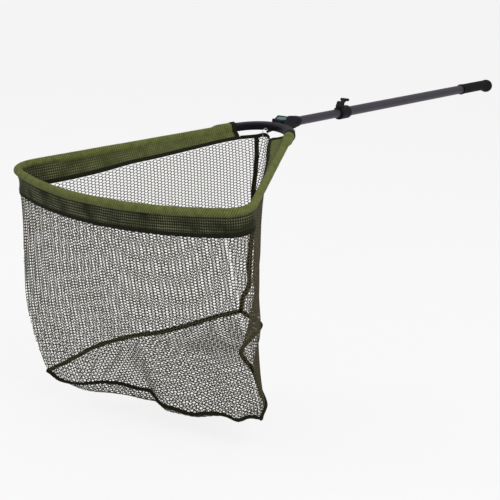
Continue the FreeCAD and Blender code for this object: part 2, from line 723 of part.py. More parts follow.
armAngle = math.radians(size("Dims.netHalfAngle"))
armAlong = V(math.cos(armAngle), math.sin(armAngle), 0)
armOut = V(-math.sin(armAngle), math.cos(armAngle), 0)
yokeRadius = size("Dims.yokeRadius")
yokeCentre = V(size("Dims.yokeBack") + yokeRadius, 0, 0)
armStart = yokeCentre + armOut * yokeRadius
bowRadius = size("Dims.bowRadius")
bowCentre = V(size("Dims.bowCentre"), 0, 0)
cornerRadius = size("Dims.cornerRadius")


def rimGeometry():
    """Length of the straight arm, corner's centre and the angles where arcs meet."""
    offset = armStart - armOut * cornerRadius - bowCentre
    inner = bowRadius - cornerRadius
    along = offset.dot(armAlong)
    length = -along + math.sqrt(along ** 2 - offset.dot(offset) + inner ** 2)
    centre = bowCentre + offset + armAlong * length
    meet = math.atan2(centre.y - bowCentre.y, centre.x - bowCentre.x)
    return length, centre, meet


armLength, cornerCentre, bowHalf = rimGeometry()
cornerTurn = math.degrees(math.atan2(armOut.y, armOut.x) - bowHalf)
up = V(0, 0, 1)


def sectionFace(pieces, holes=()):
    """Section across the rim: x is outwards from the tube, z is up.

    A piece is a radius for a round one, or (half width, bottom, top)."""
    def flat(item):
        if isinstance(item, tuple):
            half, low, high = item
            corners = [V(-half, 0, low), V(half, 0, low), V(half, 0, high), V(-half, 0, high)]
            return Part.Face(Part.makePolygon(corners + corners[:1]))
        return Part.Face(Part.Wire(Part.makeCircle(item, V(0, 0, 0), V(0, 1, 0))))
    face = flat(pieces[0])
    for item in pieces[1:]:
        face = face.fuse(flat(item))
    for item in holes:
        face = face.cut(flat(item))
    return face.removeSplitter()


def hang(distance):
    """Band on the left arm: tube's middle, way down the band, its outer normal and its depth."""
    flareEnd = size("Dims.socketLength")
    share = max(distance - flareEnd, 0) / (armLength - flareEnd)
    lean = math.radians(size("Dims.bandLean")) * (1 - share ** 2.5)
    down = -up * math.cos(lean) - armOut * math.sin(lean)
    normal = armOut * math.cos(lean) - up * math.sin(lean)
    depth = size("Dims.bandDepth") - size("Dims.bandDepth - Dims.bandBackDepth") * (1 - share) ** 1.5
    return armStart + armAlong * distance, down, normal, depth


def onArm(face, distance):
    """Place a section on the left arm, at a distance from its start."""
    turnTo = FreeCAD.Rotation(armOut, V(0, 0, 0), up, "XZY")
    placed = face.copy()
    placed.Placement = FreeCAD.Placement(armStart + armAlong * distance, turnTo) * face.Placement
    return placed


def armRun(face, start, end):
    return onArm(face, start).extrude(armAlong * (end - start))


def cornerRun(face):
    return onArm(face, armLength).revolve(cornerCentre, up, -cornerTurn)


def bowRun(face, fromAngle, toAngle):
    """Run along the front bar between two angles about its centre, degrees."""
    turnTo = FreeCAD.Rotation(V(math.cos(math.radians(fromAngle)), math.sin(math.radians(fromAngle)), 0),
                              V(0, 0, 0), up, "XZY")
    radial = V(math.cos(math.radians(fromAngle)), math.sin(math.radians(fromAngle)), 0)
    placed = face.copy()
    placed.Placement = FreeCAD.Placement(bowCentre + radial * bowRadius, turnTo)
    return placed.revolve(bowCentre, up, toAngle - fromAngle)


def join(shapes):
    whole = shapes[0].multiFuse(shapes[1:]) if len(shapes) > 1 else shapes[0]
    return whole.removeSplitter()


def keepPair(stem, shape):
    """Left piece and its mirror image on the right."""
    keepShape(stem + "_left", shape, netPlace)
    keepShape(stem + "_right", shape.mirror(V(0, 0, 0), V(0, 1, 0)), netPlace)


# --------------------------------------------------------------------- yoke

hinge = toNet(V(size("Dims.hingeX"), 0, size("Dims.hingeZ")))


def bar(radius, start, direction, length):
    return Part.makeCylinder(radius, length, start, direction)


def makeYoke():
    """Arched beam with round tube sockets, a hinge knuckle and the ring's eye."""
    beam = newBody("yokeBeam")
    section = newSketch(beam, "XZ_Plane")
    section.setExpression("AttachmentOffset.Base.x", "Dims.yokeBack + Dims.yokeRadius")
    inner = "-Dims.yokeRadius + Dims.yokeWidth / 2"
    outer = "-Dims.yokeRadius - Dims.yokeWidth / 2"
    drawOutline(section, [
        (outer + " + 1.5", "Dims.yokeBottom"),
        (inner, "Dims.yokeBottom"),
        (inner, "Dims.yokeTop - Dims.yokeBevel * 0.6"),
        (inner + " - Dims.yokeBevel", "Dims.yokeTop"),
        (outer + " + Dims.yokeBevel * 0.7", "Dims.yokeTop"),
        (outer, "Dims.yokeTop - Dims.yokeBevel * 0.7"),
        (outer, "Dims.yokeBottom + 1.5"),
    ])
    arch = beam.newObject("PartDesign::Revolution", "yokeArch")
    arch.Profile = section
    arch.ReferenceAxis = (section, ["V_Axis"])
    arch.Midplane = True
    bind(arch, Angle="180 - 2 * Dims.netHalfAngle")
    doc.recompute()
    solids = [beam.Shape.copy()]
    tools = []
    socket = size("Dims.socketRadius")
    for mirror in (1, -1):
        along = V(armAlong.x, armAlong.y * mirror, 0)
        start = V(armStart.x, armStart.y * mirror, 0)
        solids.append(bar(socket, start - along * 3, along, size("Dims.socketLength") + 3))
        tools.append(bar(size("Dims.frameRadius + Dims.seatFit"), start + along * size("Dims.socketStop"),
                         along, size("Dims.socketLength")))
        rivet = start + along * size("Dims.rivetInset") - up * (socket + 1)
        tools.append(bar(size("Dims.rivetRadius + Dims.seatFit"), rivet, up, 2 * socket + 2))
    width = size("Dims.knuckleWidth")
    knuckle = size("Dims.knuckleRadius")
    sideways = V(0, 1, 0)
    solids.append(bar(knuckle, hinge - sideways * width / 2, sideways, width))
    beamBack = size("Dims.yokeBack - Dims.yokeWidth / 2")
    webDrop = size("Dims.webDrop")
    web = Part.makeBox(beamBack + 3 - hinge.x, width, webDrop, V(hinge.x, -width / 2, hinge.z - webDrop))
    solids.append(web)
    tools.append(bar(size("Dims.foldPin / 2 + Dims.runFit"), hinge - sideways * width, sideways, 2 * width))
    # eye for the wire ring, on the beam's front face
    thick = size("Dims.eyeThick")
    eyeRadius = size("Dims.eyeRadius")
    eye = V(size("Dims.ringU - Dims.ringRadius"), 0, size("Dims.ringW") - thick / 2)
    beamFront = size("Dims.yokeBack + Dims.yokeWidth / 2")
    solids.append(bar(eyeRadius, eye, up, thick))
    solids.append(Part.makeBox(eye.x - beamFront + 3, 2 * eyeRadius, thick, V(beamFront - 3, -eyeRadius, eye.z)))
    tools.append(bar(size("Dims.ringWire + Dims.bodyGap"), eye - up * thick, up, 3 * thick))
    keepShape("yoke", join(solids).cut(tools).removeSplitter(), netPlace)


makeYoke()


def makeRivets():
    """One rivet through each yoke end and the tube inside it."""
    radius = size("Dims.rivetRadius")
    socket = size("Dims.socketRadius")
    start = armStart + armAlong * size("Dims.rivetInset") - up * (socket + 0.2)
    shank = bar(radius, start, up, 2 * socket + 0.4)
    keepPair("arm_rivet", shank)


makeRivets()


def makeRing():
    """Closed wire ring that carries the net's back tape."""
    ring = doc.addObject("Part::Torus", "net_ring")
    bind(ring, Radius1="Dims.ringRadius", Radius2="Dims.ringWire")
    place = FreeCAD.Placement(V(size("Dims.ringU"), 0, size("Dims.ringW")), FreeCAD.Rotation(V(1, 0, 0), 90))
    ring.Placement = netPlace.multiply(place)
    keep(ring, "net_ring")


makeRing()


# --------------------------------------------------------------- frame tubes

def makeFrame():
    """Bent frame tubes, joined by a ferrule in the middle of the front bar."""
    radius = size("Dims.frameRadius")
    wall = size("Dims.frameWall")
    section = sectionFace([radius], [radius - wall])
    bowEnd = math.degrees(bowHalf)
    tube = join([
        armRun(section, size("Dims.socketStop"), armLength),
        cornerRun(section),
        bowRun(section, bowEnd, 0),
    ])
    rivet = bar(size("Dims.rivetRadius + Dims.seatFit"),
                armStart + armAlong * size("Dims.rivetInset") - up * (radius + 1), up, 2 * radius + 2)
    keepPair("frame_tube", tube.cut(rivet))
    inside = radius - wall - size("Dims.seatFit")
    reach = math.degrees(size("Dims.ferruleLength") / 2 / bowRadius)
    keepShape("front_ferrule", bowRun(sectionFace([inside], [inside - wall]), -reach, reach), netPlace)


makeFrame()


# ------------------------------------------------------------- cloth sheets

def between(a, b, share):
    return a + (b - a) * share


def sheetSolid(rows, thickness, outward, openings=()):
    """Thin closed solid over a grid of points, thickened along given normals.

    rows and outward are lists of rows of the same length; openings are the
    grid's cells, as (row, column), that are left out."""
    half = thickness / 2
    outer = [[p + n * half for p, n in zip(a, b)] for a, b in zip(rows, outward)]
    inner = [[p - n * half for p, n in zip(a, b)] for a, b in zip(rows, outward)]
    last = len(rows) - 1
    width = len(rows[0]) - 1
    faces = []

    def addTriangle(a, b, c):
        if (b - a).cross(c - a).Length > 1e-4:
            faces.append(Part.Face(Part.makePolygon([a, b, c, a])))

    def addQuad(a, b, c, d):
        addTriangle(a, b, c)
        addTriangle(a, c, d)

    def isOpen(i, j):
        return i < 0 or j < 0 or i >= last or j >= width or (i, j) in openings

    def addEdge(a, b):
        (i, j), (k, m) = a, b
        addQuad(outer[i][j], outer[k][m], inner[k][m], inner[i][j])

    for i in range(last):
        for j in range(width):
            if (i, j) in openings:
                continue
            addQuad(outer[i][j], outer[i][j + 1], outer[i + 1][j + 1], outer[i + 1][j])
            addQuad(inner[i][j], inner[i + 1][j], inner[i + 1][j + 1], inner[i][j + 1])
            if isOpen(i, j - 1):
                addEdge((i, j), (i + 1, j))
            if isOpen(i, j + 1):
                addEdge((i + 1, j + 1), (i, j + 1))
            if isOpen(i - 1, j):
                addEdge((i, j + 1), (i, j))
            if isOpen(i + 1, j):
                addEdge((i + 1, j), (i + 1, j + 1))
    shell = Part.Shell(faces)
    shell.sewShape()
    solid = Part.Solid(shell)
    if solid.Volume < 0:
        solid.reverse()
    return solid


def gridLines(lengths):
    """Lines of a net's grid along a chain of spans, and which steps between them are openings."""
    places, opened = [0.0], []
    for index, length in enumerate(lengths):
        count = int(round(length / size("Dims.gridPitch")))
        edge = size("Dims.gridBar / 2") / length
        for k in range(count):
            places += [index + k / count + edge, index + (k + 1) / count - edge]
            opened += [False, True]
        places.append(index + 1.0)
        opened.append(False)
    return places, opened


def netSheet(rows, outward):
    """Net wall or floor: a sheet with a plain grid of openings."""
    middle = len(rows[0]) // 2
    across, openAcross = gridLines([(b - a).Length for a, b in zip(rows[0], rows[0][1:])])
    down, openDown = gridLines([(b[middle] - a[middle]).Length for a, b in zip(rows, rows[1:])])

    def blend(grid, x, y):
        i, j = min(int(y), len(grid) - 2), min(int(x), len(grid[0]) - 2)
        upper = between(grid[i][j], grid[i][j + 1], x - j)
        return between(upper, between(grid[i + 1][j], grid[i + 1][j + 1], x - j), y - i)

    points = [[blend(rows, x, y) for x in across] for y in down]
    normals = [[blend(outward, x, y) for x in across] for y in down]
    openings = {(i, j) for i, a in enumerate(openDown) for j, b in enumerate(openAcross) if a and b}
    return sheetSolid(points, size("Dims.netThick"), normals, openings)


def sideways(row, side=1):
    """Horizontal normals of a row of points, to the left of its direction or to the right with side -1."""
    normals = []
    for i in range(len(row)):
        before = row[max(i - 1, 0)]
        after = row[min(i + 1, len(row) - 1)]
        along = V(after.x - before.x, after.y - before.y, 0).normalize()
        normals.append(V(-along.y, along.x, 0) * side)
    return normals


# --------------------------------------------- sleeves, hanging band, tapes

flareEnd = size("Dims.socketLength")
taperEnd = flareEnd + size("Dims.flareTaper")
bandStations = [0, flareEnd, taperEnd] + [between(taperEnd, armLength, k / 6) for k in range(1, 7)]


def makeSleeves():
    """Fabric sleeves round the tube with the band that hangs from them and leans in."""
    radius = size("Dims.sleeveRadius")
    bore = radius - size("Dims.sleeveWall")
    flare = size("Dims.flareRadius")
    flareBore = flare - size("Dims.sleeveWall")
    half = size("Dims.bandThick / 2")
    depth = size("Dims.bandDepth")
    tape = size("Dims.tapeDepth")
    plain = sectionFace([radius, (half, -depth, -bore - 0.2)], [bore])
    start = armStart + armAlong * flareEnd
    taper = Part.makeCone(flare, radius, taperEnd - flareEnd, start, armAlong)
    hollow = Part.makeCone(flareBore, bore, taperEnd - flareEnd, start, armAlong)
    hangs = [hang(s) for s in bandStations]
    normals = [[normal for place, down, normal, low in hangs]] * 2
    tops = [flareBore, flareBore] + [bore] * (len(hangs) - 2)
    upper = [place + down * (top + 0.2) for (place, down, normal, low), top in zip(hangs, tops)]
    lower = [place + down * low for place, down, normal, low in hangs]
    side = join([
        armRun(sectionFace([flare], [flareBore]), 0, flareEnd),
        taper.cut(hollow),
        armRun(sectionFace([radius], [bore]), taperEnd, armLength),
        cornerRun(plain),
        sheetSolid([upper, lower], 2 * half, normals),
    ])
    keepPair("sleeve", side)
    bowEnd = math.degrees(bowHalf)
    keepShape("sleeve_front", bowRun(plain, bowEnd, -bowEnd), netPlace)

    tapeFace = sectionFace([(size("Dims.tapeThick / 2"), -depth - tape, -depth)])
    seam = [place + down * (low + size("Dims.tapeGap")) for place, down, normal, low in hangs]
    edge = [place + down * (low + tape) for place, down, normal, low in hangs]
    keepPair("band_tape", join([sheetSolid([seam, edge], size("Dims.tapeThick"), normals), cornerRun(tapeFace)]))
    keepShape("band_tape_front", bowRun(tapeFace, bowEnd, -bowEnd), netPlace)

    wall = size("Dims.hemWall")
    gap = size("Dims.seatFit")
    reach = size("Dims.bandBackDepth")
    hemFace = sectionFace(
        [flare + wall, (half + wall, -reach, -flare + 1)],
        [flare + gap, (half + gap, -reach - 1, -flare + 1.5)])
    hemFace.rotate(V(0, 0, 0), V(0, 1, 0), size("Dims.bandLean"))
    keepPair("hem_tape", armRun(hemFace, 0.2, size("Dims.hemLength")))


makeSleeves()


# ----------------------------------------------------------- bag, soft parts

seamGap = size("Dims.seamGap")
tapeBottom = -size("Dims.bandDepth + Dims.tapeDepth")
floorBack = V(size("Dims.bagBackU"), 0, -size("Dims.bagBackW"))
floorFront = {
    1: V(size("Dims.bagLeftU"), size("Dims.bagLeftV"), -size("Dims.bagDepth")),
    -1: V(size("Dims.bagRightU"), -size("Dims.bagRightV"), -size("Dims.bagDepth")),
}


def rimPoint(angle, drop):
    """Point below the front bar at an angle about its centre."""
    turnBy = math.radians(angle)
    return bowCentre + V(math.cos(turnBy), math.sin(turnBy), 0) * bowRadius + V(0, 0, drop)


def cornerPoint(share, drop):
    """Point below the left corner, share 0 at the arm and 1 at the front bar."""
    turnBy = math.atan2(armOut.y, armOut.x) - math.radians(cornerTurn) * share
    return cornerCentre + V(math.cos(turnBy), math.sin(turnBy), 0) * cornerRadius + V(0, 0, drop)


def backRoute():
    """Lower edge and outer normals of the left half of the tape between the sleeves, from the middle."""
    place, down, normal, depth = hang(0)
    middle = V(size("Dims.backU"), 0, size("Dims.backW") - size("Dims.backTape / 2"))
    end = place + down * (depth + size("Dims.tapeDepth")) - armAlong * size("Dims.bodyGap")
    half = between(middle, end, 0.5) - up * size("Dims.backTapeSag")
    rear = V(-1, 0, 0)
    return [middle, half, end], [rear, (rear + normal).normalize(), normal]


def below(point, normal, thickness, gap):
    """Place of a wall's upper edge under a tape's lower edge."""
    flat = V(normal.x, normal.y, 0)
    lean = -normal.z
    return point + flat * (lean * thickness / 2) - up * (lean * thickness / 2 + gap)


def sideTop(side):
    """Upper edge of a side wall, from the back seam to the end of the corner; side is 1 or -1."""
    thick = size("Dims.backTapeThick")
    edge = [below(p, n, thick, size("Dims.backTapeLift")) for p, n in zip(*backRoute())][:-1]
    edge[0] = edge[0] + V(0, size("Dims.seamThick"), 0)
    for place, down, normal, depth in [hang(s) for s in bandStations]:
        low = place + down * (depth + size("Dims.tapeDepth"))
        edge.append(below(low, normal, size("Dims.tapeThick"), seamGap))
    edge += [cornerPoint(share, tapeBottom - seamGap) for share in (0.5, 1)]
    return [V(p.x, p.y * side, p.z) for p in edge]


def sideBottom(side):
    """Lower edge of a side wall, with as many points as the upper one."""
    start = floorBack + V(0, size("Dims.seamThick") * side, 0)
    arm = [between(0.02, 0.93, s / armLength) for s in bandStations]
    shares = [0, 0.01] + arm + [0.975, 1]
    return [between(start, floorFront[side], share) for share in shares]


def wallRows(top, bottom, fullness, side=1):
    """Rows of points down a wall that bellies a little at mid height.

    fullness gives each column's share of the belly; the last two rows are as
    far apart as the seam tape that covers them is wide."""
    belly = size("Dims.wallBelly")
    seamShare = 1 - size("Dims.seamWidth / Dims.bagDepth")
    rows = [top]
    for share in (0.35, 0.7, seamShare):
        row = [between(a, b, share) for a, b in zip(top, bottom)]
        swell = belly * math.sin(math.pi * share)
        rows.append([p + n * swell * f for p, n, f in zip(row, sideways(row, side), fullness)])
    rows.append(bottom)
    return rows


sideFullness = (0, 0, 0.1, 0.3, 0.4, 0.7, 0.9, 1, 1, 0.8, 0.5, 0.2, 0)
frontFullness = (0, 0.4, 0.7, 0.9, 1, 0.9, 0.7, 0.4, 0)


def hemTape(rows, side=1):
    """Seam tape outside a wall, over its two lowest rows."""
    away = size("(Dims.netThick + Dims.seamThick) / 2 + Dims.seamGap")
    normals = [sideways(row, side) for row in rows[-2:]]
    places = [[p + n * away for p, n in zip(row, outs)] for row, outs in zip(rows[-2:], normals)]
    return sheetSolid(places, size("Dims.seamThick"), normals)


def makeBag():
    """Net walls, floor and their seam tapes, hung from the band's tape."""
    for side, name in ((1, "left"), (-1, "right")):
        rows = wallRows(sideTop(side), sideBottom(side), sideFullness, side)
        keepShape("net_wall_" + name, netSheet(rows, [sideways(row, side) for row in rows]), netPlace)
        keepShape("floor_seam_" + name, hemTape(rows, side), netPlace)

    steps = len(frontFullness)
    bowEnd = math.degrees(bowHalf)
    top = [rimPoint(bowEnd * (1 - 2 * i / (steps - 1)), tapeBottom) for i in range(steps)]
    bottom = [between(floorFront[1], floorFront[-1], i / (steps - 1)) for i in range(steps)]
    rows = wallRows(top, bottom, frontFullness)
    inset = size("Dims.cornerInset")
    for row in rows:
        row[0] = row[0] - (row[0] - row[1]).normalize() * inset
        row[-1] = row[-1] - (row[-1] - row[-2]).normalize() * inset
    keepShape("net_wall_front", netSheet(rows, [sideways(row) for row in rows]), netPlace)
    keepShape("floor_seam_front", hemTape(rows), netPlace)

    thickness = size("Dims.netThick")
    sag = size("Dims.floorSag")
    drop = thickness / 2 + size("Dims.bodyGap")
    floorRows = []
    for share in (0.0, 0.3, 0.65, 1.0):
        left, right = [between(floorBack + V(0, 1.5 * side, 0), floorFront[side], share) for side in (1, -1)]
        row = []
        for across in (0, 0.25, 0.5, 0.75, 1):
            hangs = sag * math.sin(math.pi * min(share * 0.85 + 0.08, 1)) * 4 * across * (1 - across)
            row.append(between(left, right, across) - V(0, 0, drop + hangs))
        floorRows.append(row)
    keepShape("net_floor", sheetSolid(floorRows, thickness, [[up] * 5] * 4), netPlace)


makeBag()


def makeSeams():
    """Tape between the sleeves, and the bag's back seam."""
    low, normals = backRoute()
    place, down, normal, depth = hang(0)
    rise = size("Dims.backTape")
    high = [low[0] + up * rise, low[1] + (up - down).normalize() * rise, low[2] - down * rise]
    mirror = lambda row: [V(p.x, -p.y, p.z) for p in row[:0:-1]]
    rows = [mirror(high) + high, mirror(low) + low]
    outs = mirror(normals) + normals
    keepShape("back_tape", sheetSolid(rows, size("Dims.backTapeThick"), [outs, outs]), netPlace)

    # the back seam starts below the wire ring
    backTop = low[0]
    slope = (floorBack - backTop).normalize()
    back = V(slope.z, 0, -slope.x)
    start = size("Dims.ringW - Dims.ringRadius - Dims.ringWire") - 1
    top = backTop + slope * ((start - backTop.z) / slope.z)
    away = size("(Dims.netThick + Dims.seamThick) / 2 + Dims.seamGap")
    half = V(0, size("Dims.backSeamWidth / 2"), 0)
    lowest = floorBack - slope * size("Dims.seamWidth + Dims.seamThick")
    rows = [[p + back * away + half, p + back * away - half] for p in (top, lowest)]
    keepShape("back_seam", sheetSolid(rows, size("Dims.seamThick"), [[back, back]] * 2), netPlace)


makeSeams()


# ------------------------------------------------------------ check and write

doc.recompute()
for item in doc.Objects:
    if "Invalid" in item.State or "Error" in item.State:
        raise RuntimeError("%s failed: %s" % (item.Label, item.State))
for item in subparts:
    if item.Shape.isNull() or not item.Shape.isValid() or not item.Shape.Solids:
        raise RuntimeError("%s has no valid solid" % item.Label)

os.makedirs("parts", exist_ok=True)
for item in subparts:
    item.Shape.exportStep("parts/%s.step" % item.Label)
print("wrote", len(subparts), "sub-parts")
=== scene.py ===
import bpy
import bmesh
import math
import random
from mathutils import Matrix, Vector


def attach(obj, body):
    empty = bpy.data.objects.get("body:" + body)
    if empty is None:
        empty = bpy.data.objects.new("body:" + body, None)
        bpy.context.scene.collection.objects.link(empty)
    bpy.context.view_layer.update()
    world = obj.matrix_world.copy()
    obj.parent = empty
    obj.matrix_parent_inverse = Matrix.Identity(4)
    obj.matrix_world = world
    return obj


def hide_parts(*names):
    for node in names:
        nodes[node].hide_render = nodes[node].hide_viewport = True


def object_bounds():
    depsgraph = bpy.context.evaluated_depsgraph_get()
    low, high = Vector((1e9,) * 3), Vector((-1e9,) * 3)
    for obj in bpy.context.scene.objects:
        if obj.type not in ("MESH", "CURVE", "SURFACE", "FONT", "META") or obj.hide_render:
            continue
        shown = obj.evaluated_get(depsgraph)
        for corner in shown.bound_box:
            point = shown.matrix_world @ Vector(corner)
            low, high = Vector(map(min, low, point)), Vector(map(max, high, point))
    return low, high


# Folding landing net: metres, +X along the handle to the net, +Z up.
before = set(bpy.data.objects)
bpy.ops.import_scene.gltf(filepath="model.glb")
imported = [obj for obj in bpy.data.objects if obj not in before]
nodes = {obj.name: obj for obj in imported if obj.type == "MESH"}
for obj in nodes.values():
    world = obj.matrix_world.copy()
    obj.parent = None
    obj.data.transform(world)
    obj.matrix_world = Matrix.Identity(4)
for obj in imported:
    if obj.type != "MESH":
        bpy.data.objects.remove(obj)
cadLow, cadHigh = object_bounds()
print("frame loaded", len(nodes))


# colours and materials

def toLinear(code):
    channels = [int(code[i:i + 2], 16) / 255 for i in (1, 3, 5)]
    return [c / 12.92 if c <= 0.04045 else ((c + 0.055) / 1.055) ** 2.4 for c in channels] + [1.0]


def addNode(tree, kind, inputs=None, links=None, **settings):
    node = tree.nodes.new(kind)
    for name, value in settings.items():
        setattr(node, name, value)
    for key, value in (inputs or {}).items():
        node.inputs[key].default_value = value
    for key, source in (links or {}).items():
        tree.links.new(source, node.inputs[key])
    return node


def noise(tree, vector, scale, detail):
    settings = {"Scale": scale, "Detail": detail}
    return addNode(tree, "ShaderNodeTexNoise", settings, {"Vector": vector}).outputs["Fac"]


def maths(tree, operation, *values):
    # each value is a number or another node's output
    node = addNode(tree, "ShaderNodeMath", operation=operation)
    for index, value in enumerate(values):
        if isinstance(value, (int, float)):
            node.inputs[index].default_value = value
        else:
            tree.links.new(value, node.inputs[index])
    return node.outputs[0]


def mapRange(tree, value, low, high, fromLow=0.0, fromHigh=1.0):
    limits = {"From Min": fromLow, "From Max": fromHigh, "To Min": low, "To Max": high}
    return addNode(tree, "ShaderNodeMapRange", limits, {"Value": value}).outputs[0]


def newMaterial(name, **shaderValues):
    material = bpy.data.materials.new(name)
    material.use_nodes = True
    tree = material.node_tree
    shader = tree.nodes["Principled BSDF"]
    for key, value in shaderValues.items():
        shader.inputs[key].default_value = value
    return material, tree, shader


def colourMix(tree, factor, low, high):
    mix = addNode(tree, "ShaderNodeMix", data_type="RGBA")
    tree.links.new(factor, mix.inputs["Factor"])
    mix.inputs[6].default_value = toLinear(low)
    mix.inputs[7].default_value = toLinear(high)
    return mix.outputs[2]


def bumpFrom(tree, shader, height, distance, strength=1.0):
    bump = addNode(tree, "ShaderNodeBump", {"Strength": strength, "Distance": distance}, {"Height": height})
    tree.links.new(bump.outputs["Normal"], shader.inputs["Normal"])


def anodisedAluminium():
    # drawn tube, etched and anodised: a satin gunmetal with faint draw lines along it
    material, tree, shader = newMaterial("anodisedAluminium", Metallic=0.85)
    place = addNode(tree, "ShaderNodeTexCoord")
    along = addNode(tree, "ShaderNodeMapping", {"Scale": (6, 900, 900)}, {"Vector": place.outputs["Object"]})
    lines = noise(tree, along.outputs["Vector"], 1.0, 4.0)
    cloud = noise(tree, place.outputs["Object"], 14.0, 3.0)
    tone = maths(tree, "MULTIPLY_ADD", lines, 0.5, maths(tree, "MULTIPLY", cloud, 0.5))
    tree.links.new(colourMix(tree, tone, "#3d3942", "#5f5a66"), shader.inputs["Base Color"])
    tree.links.new(mapRange(tree, tone, 0.34, 0.5), shader.inputs["Roughness"])
    bumpFrom(tree, shader, lines, 0.00004, 0.4)
    return material


def mouldedPlastic(name, low, high, roughness, grain=900.0, depth=0.00005):
    # spark-eroded mould texture: fine grain, dull where it is handled
    material, tree, shader = newMaterial(name)
    shader.inputs["Specular IOR Level"].default_value = 0.14
    place = addNode(tree, "ShaderNodeTexCoord")
    fine = noise(tree, place.outputs["Object"], grain, 3.0)
    patch = noise(tree, place.outputs["Object"], 45.0, 4.0)
    tree.links.new(colourMix(tree, patch, low, high), shader.inputs["Base Color"])
    rough = mapRange(tree, patch, roughness - 0.08, roughness + 0.08)
    tree.links.new(rough, shader.inputs["Roughness"])
    bumpFrom(tree, shader, fine, depth, 0.6)
    return material


def brightSteel():
    # drawn and polished wire
    material, tree, shader = newMaterial("brightSteel", Metallic=1.0)
    place = addNode(tree, "ShaderNodeTexCoord")
    marks = noise(tree, place.outputs["Object"], 700.0, 3.0)
    tree.links.new(colourMix(tree, marks, "#b9bbbd", "#d9dadb"), shader.inputs["Base Color"])
    tree.links.new(mapRange(tree, marks, 0.2, 0.36), shader.inputs["Roughness"])
    return material


def waves(tree, flat, turn, scale, direction, distortion):
    # wavy stripes across the cloth's flat map
    turned = addNode(tree, "ShaderNodeMapping", {"Scale": (scale, scale, 1), "Rotation": (0, 0, turn)},
                     {"Vector": flat})
    return addNode(tree, "ShaderNodeTexWave", {"Scale": 1.0, "Distortion": distortion, "Detail": 1.0},
                   {"Vector": turned.outputs["Vector"]}, bands_direction=direction).outputs["Fac"]


def wovenCloth(name, low, high, thread, roughness, depth):
    # plain weave drawn from the piece's own flat map, in metres; thread scales the map and sets
    # how fine the weave is drawn, coarser than the cloth so that it shows
    material, tree, shader = newMaterial(name, Roughness=roughness)
    shader.inputs["Specular IOR Level"].default_value = 0.15
    flat = addNode(tree, "ShaderNodeUVMap", uv_map="flatMap").outputs["UV"]
    across = waves(tree, flat, 0.0, thread, "X", 0.6)
    along = waves(tree, flat, 0.0, thread, "Y", 0.6)
    weave = maths(tree, "MULTIPLY", across, along)
    cloud = maths(tree, "MULTIPLY", noise(tree, flat, 60.0, 5.0), 0.55)
    tone = maths(tree, "MULTIPLY_ADD", weave, 0.55, cloud)
    tree.links.new(colourMix(tree, tone, low, high), shader.inputs["Base Color"])
    bumpFrom(tree, shader, weave, depth, 0.8)
    return material


def sleeveCloth():
    # ribbed coated cloth on the roll; below it a dark open band with rows of light eyelets, by the
    # attribute "band", which also paints light and shade: towards the open ends, where the band leans over
    # and faces up, it is drawn in the roll's lighter colour, and it darkens towards the front
    material, tree, shader = newMaterial("coatedPolyester", Roughness=0.9)
    shader.inputs["Specular IOR Level"].default_value = 0.2
    flat = addNode(tree, "ShaderNodeUVMap", uv_map="flatMap").outputs["UV"]
    ribs = waves(tree, flat, 0.5, 75.0, "X", 1.5)
    across = waves(tree, flat, 0.0, 900.0, "X", 0.5)
    along = waves(tree, flat, 0.0, 900.0, "Y", 0.5)
    weave = maths(tree, "MULTIPLY", across, along)
    fleck = maths(tree, "MULTIPLY_ADD", weave, 0.35, noise(tree, flat, 70.0, 5.0))
    ribbed = maths(tree, "MULTIPLY_ADD", ribs, 0.65, fleck)
    roll = colourMix(tree, mapRange(tree, ribbed, 0.0, 1.0, 0.35, 1.4), "#3a4019", "#80864c")
    # eyelets stand where two sets of stripes cross, lighter and darker in patches: painted shade of the
    # band's ripples
    rowsAcross = waves(tree, flat, 0.0, 68.0, "X", 0.8)
    rowsAlong = waves(tree, flat, 0.0, 56.0, "Y", 0.8)
    lit = mapRange(tree, maths(tree, "MULTIPLY", rowsAcross, rowsAlong), 0.0, 1.0, 0.42, 0.75)
    rippleShade = mapRange(tree, noise(tree, flat, 22.0, 3.0), 0.1, 0.85, 0.36, 0.64)
    ground = maths(tree, "MULTIPLY_ADD", rippleShade, 0.08, maths(tree, "MULTIPLY", lit, rippleShade))
    band = colourMix(tree, ground, "#1d200c", "#a3a77f")
    bandAndPaintedLight = addNode(tree, "ShaderNodeAttribute", attribute_name="band")
    cloth = addNode(tree, "ShaderNodeMix", data_type="RGBA")
    tree.links.new(bandAndPaintedLight.outputs["Fac"], cloth.inputs["Factor"])
    tree.links.new(roll, cloth.inputs[6])
    tree.links.new(band, cloth.inputs[7])
    tree.links.new(cloth.outputs[2], shader.inputs["Base Color"])
    bumpFrom(tree, shader, maths(tree, "SUBTRACT", ribbed, lit), 0.0005, 0.8)
    return material


materials = {
    "tube": anodisedAluminium(),
    "grip": mouldedPlastic("mouldedRubber", "#0d0c10", "#18161c", 0.72, 600.0, 0.00012),
    "clamp": mouldedPlastic("glassFilledNylon", "#0c0c0f", "#19191d", 0.5),
    "yoke": mouldedPlastic("satinNylon", "#0c0b12", "#1a1722", 0.42),
    "button": mouldedPlastic("softTouchButton", "#566f70", "#6d8a8a", 0.5),
    "steel": brightSteel(),
    "blackSteel": mouldedPlastic("blackenedSteel", "#131317", "#232329", 0.4),
    "sleeve": sleeveCloth(),
    "tape": wovenCloth("nylonWebbing", "#101108", "#2b2d1c", 1100.0, 0.9, 0.0003),
    "net": wovenCloth("rubberisedMesh", "#3d3926", "#5f5940", 1600.0, 0.7, 0.0001),
    "thread": mouldedPlastic("polyesterThread", "#4c4e35", "#66684a", 0.7, 2500.0, 0.00002),
}
print("materials made", len(materials))


# the net head's own plane and the rim's path

